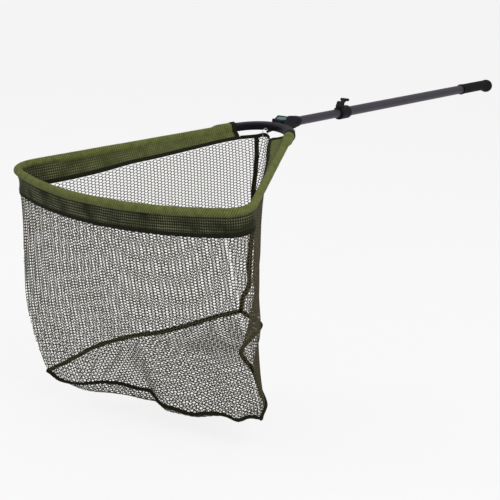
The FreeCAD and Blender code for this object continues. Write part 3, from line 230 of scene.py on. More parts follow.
netHead = {
    "apex": 0.968, "rise": 0.00315, "droop": 7.43, "halfAngle": 27.5,
    "yokeBack": 0.034, "yokeRadius": 0.0867, "bowRadius": 0.622, "cornerRadius": 0.047,
}
netTurn = Matrix.Rotation(math.radians(netHead["droop"]), 4, "Y")
netOrigin = Vector((netHead["apex"], 0, 0)) + netTurn @ Vector((0, 0, netHead["rise"]))
netPlace = Matrix.Translation(netOrigin) @ netTurn

armAngle = math.radians(netHead["halfAngle"])
armAlong = Vector((math.cos(armAngle), math.sin(armAngle), 0))
armOut = Vector((-math.sin(armAngle), math.cos(armAngle), 0))
armStart = Vector((netHead["yokeBack"] + netHead["yokeRadius"], 0, 0)) + armOut * netHead["yokeRadius"]
cornerOffset = armStart - armOut * netHead["cornerRadius"]
armReach = cornerOffset.dot(armAlong)
armLength = -armReach + math.sqrt(armReach ** 2 - cornerOffset.length_squared
                                  + (netHead["bowRadius"] - netHead["cornerRadius"]) ** 2)
cornerCentre = cornerOffset + armAlong * armLength
bowHalf = math.atan2(cornerCentre.y, cornerCentre.x)
cornerTurn = math.atan2(armOut.y, armOut.x) - bowHalf
cornerLength = cornerTurn * netHead["cornerRadius"]
bowLength = 2 * bowHalf * netHead["bowRadius"]
sideLength = armLength + cornerLength
rimLength = 2 * sideLength + bowLength


def rimAt(s):
    # point and outward direction on the tube's middle line, s from the left arm's start
    if s > rimLength / 2:
        point, out = rimAt(rimLength - s)
        return Vector((point.x, -point.y, 0)), Vector((out.x, -out.y, 0))
    if s <= armLength:
        return armStart + armAlong * s, armOut.copy()
    if s <= sideLength:
        angle = math.atan2(armOut.y, armOut.x) - (s - armLength) / netHead["cornerRadius"]
        out = Vector((math.cos(angle), math.sin(angle), 0))
        return cornerCentre + out * netHead["cornerRadius"], out
    angle = bowHalf - (s - sideLength) / netHead["bowRadius"]
    out = Vector((math.cos(angle), math.sin(angle), 0))
    return out * netHead["bowRadius"], out


# meshes

def addObject(name, data):
    obj = bpy.data.objects.new(name, data)
    bpy.context.scene.collection.objects.link(obj)
    return obj


def gridMesh(name, rows, uvRows, material):
    # rows of points in the net head's own frame, with the flat map in metres
    width = len(rows[0])
    uvs = [uv for row in uvRows for uv in row]
    faces = []
    for i in range(len(rows) - 1):
        for j in range(width - 1):
            a = i * width + j
            faces.append((a, a + 1, a + width + 1, a + width))
    mesh = bpy.data.meshes.new(name)
    mesh.from_pydata([tuple(netPlace @ Vector(p)) for row in rows for p in row], [], faces)
    mesh.update()
    layer = mesh.uv_layers.new(name="flatMap")
    for loop in mesh.loops:
        layer.data[loop.index].uv = uvs[loop.vertex_index]
    mesh.polygons.foreach_set("use_smooth", [True] * len(mesh.polygons))
    mesh.materials.append(material)
    return addObject(name, mesh)


def applyModifiers(obj):
    graph = bpy.context.evaluated_depsgraph_get()
    mesh = bpy.data.meshes.new_from_object(obj.evaluated_get(graph))
    obj.modifiers.clear()
    obj.data = mesh


def thicken(obj, thickness, offset=0.0):
    solid = obj.modifiers.new("wall", "SOLIDIFY")
    solid.thickness = thickness
    solid.offset = offset
    applyModifiers(obj)


def layFlat(rows):
    # flat pattern of a panel: lengths along each row from its middle, heights down the middle
    middle = len(rows[0]) // 2
    height = 0.0
    flat = []
    for i, row in enumerate(rows):
        if i:
            height += (row[middle] - rows[i - 1][middle]).length
        lengths = [0.0]
        for a, b in zip(row, row[1:]):
            lengths.append(lengths[-1] + (b - a).length)
        flat.append([(x - lengths[middle], -height) for x in lengths])
    lowX = min(x for row in flat for x, y in row)
    lowY = min(y for row in flat for x, y in row)
    return [[(x - lowX, y - lowY) for x, y in row] for row in flat]


def softNoise(seed, count):
    # a smooth wandering line: a few sines with seeded phases
    rng = random.Random(seed)
    waves = [(rng.uniform(0.6, 1.0) / (k + 1), (k + 1) * rng.uniform(0.8, 1.2), rng.uniform(0, 6.28))
             for k in range(count)]
    return lambda t: sum(a * math.sin(2 * math.pi * f * t + p) for a, f, p in waves)


# stitches

def stitchTree():
    # thread stitches set end to end along the edges it is given
    tree = bpy.data.node_groups.new("stitchRow", "GeometryNodeTree")
    tree.interface.new_socket("Geometry", in_out="INPUT", socket_type="NodeSocketGeometry")
    for name in ("Pitch", "Stitch", "Thread"):
        tree.interface.new_socket(name, in_out="INPUT", socket_type="NodeSocketFloat")
    tree.interface.new_socket("Material", in_out="INPUT", socket_type="NodeSocketMaterial")
    tree.interface.new_socket("Geometry", in_out="OUTPUT", socket_type="NodeSocketGeometry")
    group = addNode(tree, "NodeGroupInput").outputs
    result = addNode(tree, "NodeGroupOutput")
    line = addNode(tree, "GeometryNodeMeshToCurve", {}, {"Mesh": group["Geometry"]})
    even = addNode(tree, "GeometryNodeResampleCurve", {},
                   {"Curve": line.outputs[0], "Length": group["Pitch"]}, mode="LENGTH")
    bead = addNode(tree, "GeometryNodeMeshIcoSphere", {"Radius": 0.5, "Subdivisions": 1})
    shape = addNode(tree, "ShaderNodeCombineXYZ", {},
                    {"X": group["Thread"], "Y": group["Thread"], "Z": group["Stitch"]})
    tangent = addNode(tree, "GeometryNodeInputTangent")
    turned = addNode(tree, "FunctionNodeAlignRotationToVector", {}, {"Vector": tangent.outputs[0]},
                     axis="Z")
    copies = addNode(tree, "GeometryNodeInstanceOnPoints", {},
                     {"Points": even.outputs[0], "Instance": bead.outputs["Mesh"],
                      "Rotation": turned.outputs[0], "Scale": shape.outputs[0]})
    whole = addNode(tree, "GeometryNodeRealizeInstances", {}, {"Geometry": copies.outputs[0]})
    painted = addNode(tree, "GeometryNodeSetMaterial", {},
                      {"Geometry": whole.outputs[0], "Material": group["Material"]})
    tree.links.new(painted.outputs[0], result.inputs[0])
    return tree


stitchRow = stitchTree()
stitch = {"pitch": 0.0042, "length": 0.0028, "thread": 0.0007}


def setInputs(modifier, values):
    for item in modifier.node_group.interface.items_tree:
        if item.item_type == "SOCKET" and item.in_out == "INPUT" and item.name in values:
            modifier[item.identifier] = values[item.name]


def makeStitches(name, lines, material):
    vertices, edges = [], []
    for line in lines:
        first = len(vertices)
        vertices += [tuple(netPlace @ p) for p in line]
        edges += [(first + i, first + i + 1) for i in range(len(line) - 1)]
    mesh = bpy.data.meshes.new(name)
    mesh.from_pydata(vertices, edges, [])
    row = addObject(name, mesh)
    modifier = row.modifiers.new("stitches", "NODES")
    modifier.node_group = stitchRow
    setInputs(modifier, {"Pitch": stitch["pitch"], "Stitch": stitch["length"],
                         "Thread": stitch["thread"], "Material": material})
    applyModifiers(row)
    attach(row, "net_head")
    return row


# fabric sleeve with its hanging band

sleeve = {
    "radius": 0.0080, "slant": 0.5, "slantEnd": 0.08,
    "flareRadius": 0.0116, "flareEnd": 0.042, "taperEnd": 0.058,
    "bandHalf": 0.0011, "bandDepth": 0.042, "cloth": 0.0005,
    # points up each side of the band and round the roll, and half the roll's gap in degrees
    "bandPoints": 8, "rollPoints": 13, "gap": 28, "wobble": 0.02,
    "stitchRows": (0.0025, 0.0255), "stitchInset": 0.004, "threadOut": 0.0004,
    # the band by distance from the open end: (distance, degrees it leans inwards, depth)
    "left": [(0, 75, 0.043), (0.042, 66, 0.041), (0.1, 52, 0.037), (0.2, 40, 0.0355), (0.3, 33, 0.0388),
             (0.35, 25, 0.0401), (0.42, 10, 0.0415), (0.4677, 0, 0.042)],
    "right": [(0, 57, 0.029), (0.042, 57, 0.029), (0.1, 54, 0.0316), (0.2, 48, 0.0355), (0.266, 48, 0.0376),
              (0.335, 32, 0.0397), (0.41, 18, 0.0414), (0.4677, 5, 0.042), (0.51, 0, 0.042)],
    # how dark and open the band looks, by distance from the open end: painted light, with low values near
    # the open end where the band leans over and faces up, and painted shade rising to 1 towards the front
    "shadeLeft": [(0, 0.1), (0.12, 0.2), (0.3, 0.6), (0.42, 1.0)],
    "shadeRight": [(0, 0.35), (0.2, 0.45), (0.4, 0.75), (0.5, 1.0)],
    "ripple": 0.0013, "step": 0.005,
    "tapeDepth": 0.009, "tapeHalf": 0.0015, "tapeWall": 0.0006, "tapeLap": 0.0008, "tapeRounding": 0.001,
    "tapeStep": 0.006, "netTuck": 0.0006,
    "hemLength": 0.0102, "hemWall": 0.0009, "hemCloth": 0.0008, "hemStep": 0.0025,
}


def sleeveRadius(s):
    fromEnd = min(s, rimLength - s)
    if fromEnd <= sleeve["flareEnd"]:
        return sleeve["flareRadius"]
    if fromEnd >= sleeve["taperEnd"]:
        return sleeve["radius"]
    share = (fromEnd - sleeve["flareEnd"]) / (sleeve["taperEnd"] - sleeve["flareEnd"])
    share = share * share * (3 - 2 * share)
    return sleeve["flareRadius"] + (sleeve["radius"] - sleeve["flareRadius"]) * share


def betweenMarks(marks, place):
    # straight lines between the marks, the ends held
    for a, b in zip(marks, marks[1:]):
        if place <= b[0]:
            share = max(0, (place - a[0]) / (b[0] - a[0]))
            return [x + (y - x) * share for x, y in zip(a[1:], b[1:])]
    return list(marks[-1][1:])


def bandHang(s):
    # how far the band leans inwards, in radians, and how deep it hangs, evened out along the rim
    marks = sleeve["left" if s < rimLength / 2 else "right"]
    fromEnd = min(s, rimLength - s)
    near = [betweenMarks(marks, fromEnd + step) for step in (-0.016, -0.008, 0, 0.008, 0.016)]
    lean, depth = (sum(values) / 5 for values in zip(*near))
    return math.radians(lean), depth


def swung(points, lean):
    cosLean, sinLean = math.cos(lean), math.sin(lean)
    return [(x * cosLean + z * sinLean, z * cosLean - x * sinLean) for x, z in points]


def rimSpot(s, x, z):
    # place in the net plane's frame of a point of the section at s: x outwards, z up
    point, out = rimAt(s)
    if s < sleeve["slantEnd"]:
        # the left sleeve's open end is cut on the slant, longer at its inner edge
        reach = max(0.0, -x - sleeve["radius"]) * sleeve["slant"] * (1 - s / sleeve["slantEnd"]) ** 2
        point = point - armAlong * reach
    return point + out * x + Vector((0, 0, z))


bandWave = softNoise(3, 9)
tubeWave = softNoise(11, 40)


def sleeveProfile(s, extra=0.0):
    # across the rim: x outwards, z up; from the band's inner lower edge round the tube to the outer one
    radius = sleeveRadius(s) * (1 + sleeve["wobble"] * tubeWave(s / 0.25)) + extra
    half = sleeve["bandHalf"] + extra
    lean, depth = bandHang(s)
    low = -depth
    high = -radius * 1.2
    wander = sleeve["ripple"] * bandWave(s / 0.5) * (depth / sleeve["bandDepth"]) ** 2
    gap = sleeve["gap"]
    bandLast, rollLast = sleeve["bandPoints"] - 1, sleeve["rollPoints"] - 1
    points = []
    for k in range(bandLast + 1):
        z = low + (high - low) * k / bandLast
        points.append((-half + wander * math.sin(math.pi * k / bandLast) * 1.5, z))
    for k in range(rollLast + 1):
        angle = math.radians(270 - gap - (360 - 2 * gap) * k / rollLast)
        points.append((radius * math.cos(angle), radius * math.sin(angle)))
    for k in range(bandLast + 1):
        z = high + (low - high) * k / bandLast
        points.append((half + wander * math.sin(math.pi * (bandLast - k) / bandLast) * 1.5, z))
    return swung(points, lean)


def stations(start, end, step):
    count = max(2, int(round((end - start) / step)) + 1)
    return [start + (end - start) * i / (count - 1) for i in range(count)]


def alongRim(name, start, end, profile, material, step):
    rows = []
    uvRows = []
    for s in stations(start, end, step):
        across = profile(s)
        rows.append([rimSpot(s, x, z) for x, z in across])
        run = 0.0
        uvRow = [(s, 0.0)]
        for a, b in zip(across, across[1:]):
            run += math.hypot(b[0] - a[0], b[1] - a[1])
            uvRow.append((s, run))
        uvRows.append(uvRow)
    return gridMesh(name, rows, uvRows, material)


def profileLength(s):
    across = sleeveProfile(s)
    return sum(math.hypot(b[0] - a[0], b[1] - a[1]) for a, b in zip(across, across[1:]))


def bandLine(start, end, x, above):
    # a line on the band, above its lower edge
    line = []
    for s in stations(start, end, sleeve["tapeStep"]):
        lean, depth = bandHang(s)
        spot = swung([(x, above - depth)], lean)[0]
        line.append(rimSpot(s, *spot))
    return line


def makeSleeve(name, node, start, end):
    cloth = alongRim(name, start, end, sleeveProfile, materials["sleeve"], sleeve["step"])
    bandAndPaintedLight = cloth.data.attributes.new("band", "FLOAT", "POINT")
    values = []
    # painted light and shade on the band: the roll's lighter colour near the open end, its own dark colour
    # towards the front
    for s in stations(start, end, sleeve["step"]):
        marks = sleeve["shadeLeft" if s < rimLength / 2 else "shadeRight"]
        side = betweenMarks(marks, min(s, rimLength - s)) * sleeve["bandPoints"]
        values += side + [0.0] * sleeve["rollPoints"] + side
    bandAndPaintedLight.data.foreach_set("value", values)
    thicken(cloth, sleeve["cloth"])
    out = sleeve["bandHalf"] + sleeve["threadOut"]
    first, last = start + sleeve["stitchInset"], end - sleeve["stitchInset"]
    rows = [bandLine(first, last, x, above) for x in (-out, out) for above in sleeve["stitchRows"]]
    threads = makeStitches(name + "Stitches", rows, materials["thread"])
    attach(cloth, "net_head")
    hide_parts(node)
    width = sum(profileLength(s) for s in stations(start, end, 0.02)) / len(stations(start, end, 0.02))


makeSleeve("sleeveLeft", "sleeve_left", 0.0, sideLength)
makeSleeve("sleeveFront", "sleeve_front", sideLength, rimLength - sideLength)
makeSleeve("sleeveRight", "sleeve_right", rimLength - sideLength, rimLength)


def tapeProfile(s):
    half = sleeve["tapeHalf"]
    lean, depth = bandHang(s)
    top = -depth
    low = top - sleeve["tapeDepth"]
    rounding = sleeve["tapeRounding"]
    inner = [(-half * 0.75, top + sleeve["tapeLap"]), (-half, top - rounding), (-half, (top + low) / 2),
             (-half, low + rounding)]
    outer = [(-x, z) for x, z in reversed(inner)]
    return swung(inner + [(0, low)] + outer, lean)


def makeBandTape(name, node, start, end):
    tape = alongRim(name, start, end, tapeProfile, materials["tape"], sleeve["tapeStep"])
    thicken(tape, sleeve["tapeWall"], -1.0)
    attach(tape, "net_head")
    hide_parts(node)


makeBandTape("bandTapeLeft", "band_tape_left", 0.0, sideLength)
makeBandTape("bandTapeFront", "band_tape_front", sideLength, rimLength - sideLength)
makeBandTape("bandTapeRight", "band_tape_right", rimLength - sideLength, rimLength)


def makeHem(name, node, start, end):
    # folded edging sewn over the sleeve's open end
    hem = alongRim(name, start, end, lambda s: sleeveProfile(s, sleeve["hemWall"]), materials["tape"],
                   sleeve["hemStep"])
    thicken(hem, sleeve["hemCloth"])
    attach(hem, "net_head")
    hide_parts(node)
    profileLength(0.005) + 0.004


makeHem("hemTapeLeft", "hem_tape_left", 0.0, sleeve["hemLength"])
makeHem("hemTapeRight", "hem_tape_right", rimLength - sleeve["hemLength"], rimLength)
print("sleeves made")


# net bag: seams hang in soft waves between its corners, walls and floor are drawn between them

bag = {
    "ring": (0.0695, 0.0, -0.0143), "back": (0.079, -0.018, -0.0175),
    "floorBack": (0.193, 0.0, -0.389),
    "floorLeft": (0.493, 0.279, -0.453), "floorRight": (0.555, -0.258, -0.453),
    # how far the middles of the two front edges stand out, away from the bag's middle
    "leftEdge": 0.008, "rightEdge": 0.023, "middle": 0.3,
    # how far the floor hangs below its seams: (share from the left to the right, metres)
    "sag": [(0, 0.0), (0.1, 0.014), (0.25, 0.027), (0.42, 0.036), (0.5, 0.038), (0.58, 0.039),
            (0.675, 0.04), (0.77, 0.039), (0.86, 0.034), (0.95, 0.021), (1, 0.0)],
    "sagPeak": 0.94, "fold": 0.0022,
    "columns": 61, "rows": 41, "floorColumns": 41, "floorRows": 31, "topStep": 0.008,
}
tapes = {
    "seamWidth": 0.0095, "seamThick": 0.0075, "sides": 10,
    "backSeamWidth": 0.013, "backSeamThick": 0.0018, "backSeamPoints": 50,
    "backTapeWidth": 0.0085, "backTapeThick": 0.0034, "backTapeLift": 0.0035,
}
# offsets of each seam from the straight line between its ends, as (share, forward, left, up) in millimetres
seamMarks = {
    "back": [(0, 0, 0, 0), (0.1, -5, 1, 0), (0.2, -9, -1, 0), (0.34, -12, -4, 0), (0.5, -11, 3, 0),
             (0.66, -8, 5, 0), (0.76, -6, 7, 0), (0.85, -5, 12, 0), (0.93, 0, 1, 0), (1, 0, 0, 0)],
    "left": [(0, 0, 0, 0), (0.07, -12, 13, 0), (0.15, -26, 28, -2), (0.25, -14, 15, -1), (0.35, -1, 1, 7),
             (0.45, 11, -12, 14), (0.52, 10, -11, 14), (0.62, 0, 0, 13), (0.77, -5, 6, 6), (0.9, -9, 10, 2),
             (1, 0, 0, 0)],
    "front": [(0, 0, 0, 0), (0.057, 0, 0, -3), (0.1, 2, 0, -15), (0.157, 0, 0, -11), (0.23, 1, 0, -14),
              (0.305, 3, 0, -24), (0.373, 5, 0, -20), (0.443, 4, 0, -17), (0.475, 0, 0, -5),
              (0.495, -3, 0, 5), (0.562, -3, 0, 4), (0.635, 0, 0, 8), (0.732, 2, 0, 2),
              (0.837, 0, 0, -14), (0.938, 0, 0, -16), (1, 0, 0, 0)],
    "right": [(0, 0, 0, 0), (0.11, 0, -2, 2), (0.25, 0, -4, 2), (0.415, 2, -4, 6), (0.5, 2, 0, 15),
              (0.575, 0, 3, 21), (0.66, 0, 0, 22), (0.755, 0, -3, 20), (0.87, 0, -2, 9), (0.948, 0, 0, 4),
              (1, 0, 0, 0)],
}
# bulges of each wall: share across, share down, half widths, millimetres outwards
wallBulges = {
    "left": [(0.5, 0.55, 0.36, 0.35, 8), (0.12, 0.7, 0.14, 0.2, 9), (0.3, 0.93, 0.1, 0.2, -10),
             (0.62, 0.75, 0.14, 0.2, 8), (0.8, 0.35, 0.12, 0.22, -5)],
    "front": [(0.5, 0.5, 0.42, 0.45, 11), (0.2, 0.85, 0.12, 0.25, -8), (0.42, 0.7, 0.1, 0.3, 7),
              (0.75, 0.8, 0.16, 0.22, 9), (0.9, 0.55, 0.1, 0.3, 6)],
    "right": [(0.5, 0.5, 0.36, 0.45, 9), (0.2, 0.6, 0.14, 0.35, -5), (0.82, 0.65, 0.14, 0.4, 8),
              (0.6, 0.9, 0.16, 0.2, -7)],
}


def mix(a, b, share):
    return a + (b - a) * share


def smoothLine(points, count):
    # resample a polyline evenly by length
    lengths = [0.0]
    for a, b in zip(points, points[1:]):
        lengths.append(lengths[-1] + (b - a).length)
    result = []
    for i in range(count):
        target = lengths[-1] * i / (count - 1)
        k = max(j for j, value in enumerate(lengths) if value <= target + 1e-12)
        k = min(k, len(points) - 2)
        span = lengths[k + 1] - lengths[k]
        result.append(mix(points[k], points[k + 1], (target - lengths[k]) / span))
    return result


def curveAt(spots, k, t):
    # smooth curve through the spots: the place a share t of the way from spot k to the next
    before, after = spots[max(k - 1, 0)], spots[min(k + 2, len(spots) - 1)]
    a, b = spots[k], spots[k + 1]
    slopeA, slopeB = (b - before) * 0.5, (after - a) * 0.5
    return (a * (2 * t ** 3 - 3 * t ** 2 + 1) + slopeA * (t ** 3 - 2 * t ** 2 + t)
            + b * (3 * t ** 2 - 2 * t ** 3) + slopeB * (t ** 3 - t ** 2))


def wavy(marks, share):
    # offset of a seam at a share of its length, in metres
    k = max(i for i in range(len(marks) - 1) if marks[i][0] <= share + 1e-9)
    spots = [Vector(m[1:]) / 1000 for m in marks]
    return curveAt(spots, k, (share - marks[k][0]) / (marks[k + 1][0] - marks[k][0]))


def seamLine(name, start, end, count):
    a, b = Vector(bag[start]), Vector(bag[end])
    return [mix(a, b, i / (count - 1)) + wavy(seamMarks[name], i / (count - 1)) for i in range(count)]


def tapeEdge(s):
    # where the net starts, tucked into the tape's lower edge
    lean, depth = bandHang(s)
    return rimSpot(s, *swung([(0, -depth - sleeve["tapeDepth"] + sleeve["netTuck"])], lean)[0])


def backArch(count):
    # lower edge of the tape between the sleeves, left to right: over the ring and the top of the seam
    knots = [tapeEdge(0.0), Vector(bag["ring"]), Vector(bag["back"]), tapeEdge(rimLength)]
    return [knots[0]] + [curveAt(knots, k, i / count) for k in range(3) for i in range(1, count + 1)]


archStep = 8
arch = backArch(archStep)


def wallTop(side, count):
    # top edge of a side wall, from the back seam's top, which is the arch's third knot
    seamTop = 2 * archStep
    run = stations(0.0, sideLength, bag["topStep"])[1:]
    if side > 0:
        line = arch[seamTop::-1] + [tapeEdge(s) for s in run]
    else:
        line = arch[seamTop:] + [tapeEdge(rimLength - s) for s in run]
    return smoothLine(line, count)


def frontTop(count):
    run = stations(sideLength, rimLength - sideLength, bag["topStep"])
    return smoothLine([tapeEdge(s) for s in run], count)


def swellAt(name, across, down):
    # how far a wall's bulges push it out
    total = 0.0
    for x, y, halfWidth, halfHeight, height in wallBulges[name]:
        far = ((across - x) / halfWidth) ** 2 + ((down - y) / halfHeight) ** 2
        total += height / 1000 * math.exp(-2.2 * far)
    return total


def wallRows(top, bottom, firstEdge, lastEdge, name, seed, out):
    # a wall drawn between its four edges, with bulges and soft folds that die at the edges
    fold = softNoise(seed, 7)
    rows = []
    for i in range(bag["rows"]):
        down = i / (bag["rows"] - 1)
        row = []
        for j in range(len(top)):
            across = j / (len(top) - 1)
            # the bottom seam's waves reach only the lowest part of the wall
            straight = mix(bottom[0], bottom[-1], across)
            ruled = mix(top[j], straight, down) + (bottom[j] - straight) * down ** 5
            first = firstEdge[i] - mix(top[0], bottom[0], down)
            last = lastEdge[i] - mix(top[-1], bottom[-1], down)
            point = ruled + first * (1 - across) ** 3 + last * across ** 3
            calm = min(1, 5 * across, 5 * (1 - across)) * min(1, 5 * down, 5 * (1 - down))
            ripple = bag["fold"] * fold(across * 2.3 + 0.15 * down) * (0.3 + down)
            row.append(point + out(j) * (swellAt(name, across, down) + ripple) * calm)
        rows.append(row)
    return rows


def outwards(line):
    def direction(j):
        a = line[max(j - 1, 0)]
        b = line[min(j + 1, len(line) - 1)]
        along = Vector((b.x - a.x, b.y - a.y, 0)).normalized()
        return Vector((-along.y, along.x, 0))
    return direction


net = {"cellLength": 0.0105, "cellHeight": 0.0064, "strand": 0.0013, "thickness": 0.0008}


def netTree():
    # tiles the flat pattern with hexagonal meshes and carries them onto the hung cloth
    tree = bpy.data.node_groups.new("hexagonalNet", "GeometryNodeTree")
    tree.interface.new_socket("Geometry", in_out="INPUT", socket_type="NodeSocketGeometry")
    for name in ("Flat Width", "Flat Height", "Cell Length", "Cell Height", "Strand", "Thickness"):
        tree.interface.new_socket(name, in_out="INPUT", socket_type="NodeSocketFloat")
    tree.interface.new_socket("Material", in_out="INPUT", socket_type="NodeSocketMaterial")
    tree.interface.new_socket("Geometry", in_out="OUTPUT", socket_type="NodeSocketGeometry")
    group = addNode(tree, "NodeGroupInput").outputs
    result = addNode(tree, "NodeGroupOutput")

    # one mesh: a ring between two six-sided outlines
    circle = addNode(tree, "GeometryNodeMeshCircle", {"Vertices": 6, "Radius": 0.5}, fill_type="NGON")
    rise = maths(tree, "DIVIDE", group["Cell Height"], math.cos(math.radians(30)))
    scale = addNode(tree, "ShaderNodeCombineXYZ", {"Z": 1.0}, {"X": group["Cell Length"], "Y": rise})
    cell = addNode(tree, "GeometryNodeTransform", {},
                   {"Geometry": circle.outputs[0], "Scale": scale.outputs[0]})
    ring = addNode(tree, "GeometryNodeExtrudeMesh", {"Offset Scale": 0.0, "Individual": True},
                   {"Mesh": cell.outputs[0]})
    solidShare = maths(tree, "DIVIDE", group["Strand"], group["Cell Height"])
    hole = maths(tree, "SUBTRACT", 1.0, solidShare)
    shrink = addNode(tree, "GeometryNodeScaleElements", {},
                     {"Geometry": ring.outputs["Mesh"], "Selection": ring.outputs["Top"], "Scale": hole})
    opened = addNode(tree, "GeometryNodeDeleteGeometry", {},
                     {"Geometry": shrink.outputs[0], "Selection": ring.outputs["Top"]}, domain="FACE")
    # lattice: columns three quarters of a cell apart, every other one half a cell higher
    pitch = maths(tree, "MULTIPLY", group["Cell Length"], 0.75)
    across = maths(tree, "DIVIDE", group["Flat Width"], pitch)
    upwards = maths(tree, "DIVIDE", group["Flat Height"], group["Cell Height"])
    columns = maths(tree, "ADD", maths(tree, "CEIL", across), 3)
    rows = maths(tree, "ADD", maths(tree, "CEIL", upwards), 3)
    sizeX = maths(tree, "MULTIPLY", maths(tree, "SUBTRACT", columns, 1), pitch)
    sizeY = maths(tree, "MULTIPLY", maths(tree, "SUBTRACT", rows, 1), group["Cell Height"])
    lattice = addNode(tree, "GeometryNodeMeshGrid", {},
                      {"Size X": sizeX, "Size Y": sizeY, "Vertices X": columns, "Vertices Y": rows})
    number = addNode(tree, "GeometryNodeInputIndex").outputs[0]
    column = maths(tree, "FLOOR", maths(tree, "DIVIDE", maths(tree, "ADD", number, 0.5), rows))
    odd = maths(tree, "MODULO", column, 2)
    halfCell = maths(tree, "MULTIPLY", group["Cell Height"], 0.5)
    shiftX = maths(tree, "MULTIPLY", group["Flat Width"], 0.5)
    shiftY = maths(tree, "MULTIPLY_ADD", group["Flat Height"], 0.5, maths(tree, "MULTIPLY", odd, halfCell))
    shift = addNode(tree, "ShaderNodeCombineXYZ", {}, {"X": shiftX, "Y": shiftY})
    placed = addNode(tree, "GeometryNodeSetPosition", {},
                     {"Geometry": lattice.outputs["Mesh"], "Offset": shift.outputs[0]})
    copies = addNode(tree, "GeometryNodeInstanceOnPoints", {},
                     {"Points": placed.outputs[0], "Instance": opened.outputs[0]})
    real = addNode(tree, "GeometryNodeRealizeInstances", {}, {"Geometry": copies.outputs[0]})
    knots = addNode(tree, "GeometryNodeMergeByDistance", {"Distance": 0.0002},
                    {"Geometry": real.outputs[0]})
    # where each point of the pattern lies on the cloth
    flat = addNode(tree, "GeometryNodeInputPosition").outputs[0]
    pattern = addNode(tree, "GeometryNodeInputNamedAttribute", {"Name": "flatMap"},
                      data_type="FLOAT_VECTOR")
    spot = addNode(tree, "GeometryNodeInputPosition").outputs[0]
    sample = addNode(tree, "GeometryNodeSampleUVSurface", {}, data_type="FLOAT_VECTOR")
    tree.links.new(group["Geometry"], sample.inputs["Mesh"])
    tree.links.new(spot, sample.inputs["Value"])
    tree.links.new(pattern.outputs["Attribute"], sample.inputs[2])
    tree.links.new(flat, sample.inputs["Sample UV"])
    kept = addNode(tree, "GeometryNodeStoreNamedAttribute", {"Name": "netFlat"},
                   {"Geometry": knots.outputs[0], "Value": flat}, data_type="FLOAT_VECTOR", domain="POINT")
    capture = addNode(tree, "GeometryNodeCaptureAttribute", {}, {"Geometry": kept.outputs[0]})
    capture.capture_items.new("VECTOR", "spot")
    capture.capture_items.new("BOOLEAN", "found")
    tree.links.new(sample.outputs["Value"], capture.inputs["spot"])
    tree.links.new(sample.outputs["Is Valid"], capture.inputs["found"])
    hung = addNode(tree, "GeometryNodeSetPosition", {},
                   {"Geometry": capture.outputs[0], "Position": capture.outputs["spot"]})
    missing = addNode(tree, "FunctionNodeBooleanMath", {}, {0: capture.outputs["found"]}, operation="NOT")
    trimmed = addNode(tree, "GeometryNodeDeleteGeometry", {},
                      {"Geometry": hung.outputs[0], "Selection": missing.outputs[0]}, domain="POINT")
    # front, hole walls and back of the strands
    front = addNode(tree, "GeometryNodeExtrudeMesh", {"Individual": False},
                    {"Mesh": trimmed.outputs[0], "Offset Scale": group["Thickness"]})
    back = addNode(tree, "GeometryNodeFlipFaces", {}, {"Mesh": trimmed.outputs[0]})
    both = addNode(tree, "GeometryNodeJoinGeometry")
    tree.links.new(back.outputs[0], both.inputs[0])
    tree.links.new(front.outputs["Mesh"], both.inputs[0])
    closed = addNode(tree, "GeometryNodeMergeByDistance", {"Distance": 0.00002},
                     {"Geometry": both.outputs[0]})
    whole = addNode(tree, "GeometryNodeRealizeInstances", {}, {"Geometry": closed.outputs[0]})
    painted = addNode(tree, "GeometryNodeSetMaterial", {},
                      {"Geometry": whole.outputs[0], "Material": group["Material"]})
    tree.links.new(painted.outputs[0], result.inputs[0])
    return tree


hexagonalNet = netTree()


def makeNet(name, node, rows):
    uvRows = layFlat(rows)
    width = max(x for row in uvRows for x, y in row)
    height = max(y for row in uvRows for x, y in row)
    panel = gridMesh(name, rows, uvRows, materials["net"])
    modifier = panel.modifiers.new("net", "NODES")
    modifier.node_group = hexagonalNet
    setInputs(modifier, {"Flat Width": width, "Flat Height": height, "Cell Length": net["cellLength"],
                         "Cell Height": net["cellHeight"], "Strand": net["strand"],
                         "Thickness": net["thickness"], "Material": materials["net"]})
    applyModifiers(panel)
    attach(panel, "net_head")
    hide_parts(node)


seams = {
    "back": seamLine("back", "back", "floorBack", bag["rows"]),
    "left": seamLine("left", "floorBack", "floorLeft", bag["columns"]),
    "right": seamLine("right", "floorBack", "floorRight", bag["columns"]),
    "front": seamLine("front", "floorLeft", "floorRight", bag["columns"]),
}


def cornerEdge(top, bottom, reach):
    # upright edge at a front corner; reach is how far its middle stands out
    away = Vector((bottom.x - bag["middle"], bottom.y, 0)).normalized()
    edge = []
    for i in range(bag["rows"]):
        down = i / (bag["rows"] - 1)
        edge.append(mix(top, bottom, down) + away * reach * math.sin(math.pi * down ** 1.4))
    return edge


leftTop = wallTop(1, bag["columns"])
rightTop = wallTop(-1, bag["columns"])
front = frontTop(bag["columns"])
leftEdge = cornerEdge(leftTop[-1], seams["left"][-1], bag["leftEdge"])
rightEdge = cornerEdge(rightTop[-1], seams["right"][-1], bag["rightEdge"])
leftRows = wallRows(leftTop, seams["left"], seams["back"], leftEdge, "left", 21, outwards(leftTop))
rightRows = wallRows(rightTop, seams["right"], seams["back"], rightEdge, "right", 22,
                     lambda j: -outwards(rightTop)(j))
frontRows = wallRows(front, seams["front"], leftEdge, rightEdge, "front", 23, outwards(front))
makeNet("netWallLeft", "net_wall_left", leftRows)
makeNet("netWallRight", "net_wall_right", [row[::-1] for row in rightRows])
makeNet("netWallFront", "net_wall_front", frontRows)


def spotOn(line, share):
    k = share * (len(line) - 1)
    low = min(int(k), len(line) - 2)
    return mix(line[low], line[low + 1], k - low)


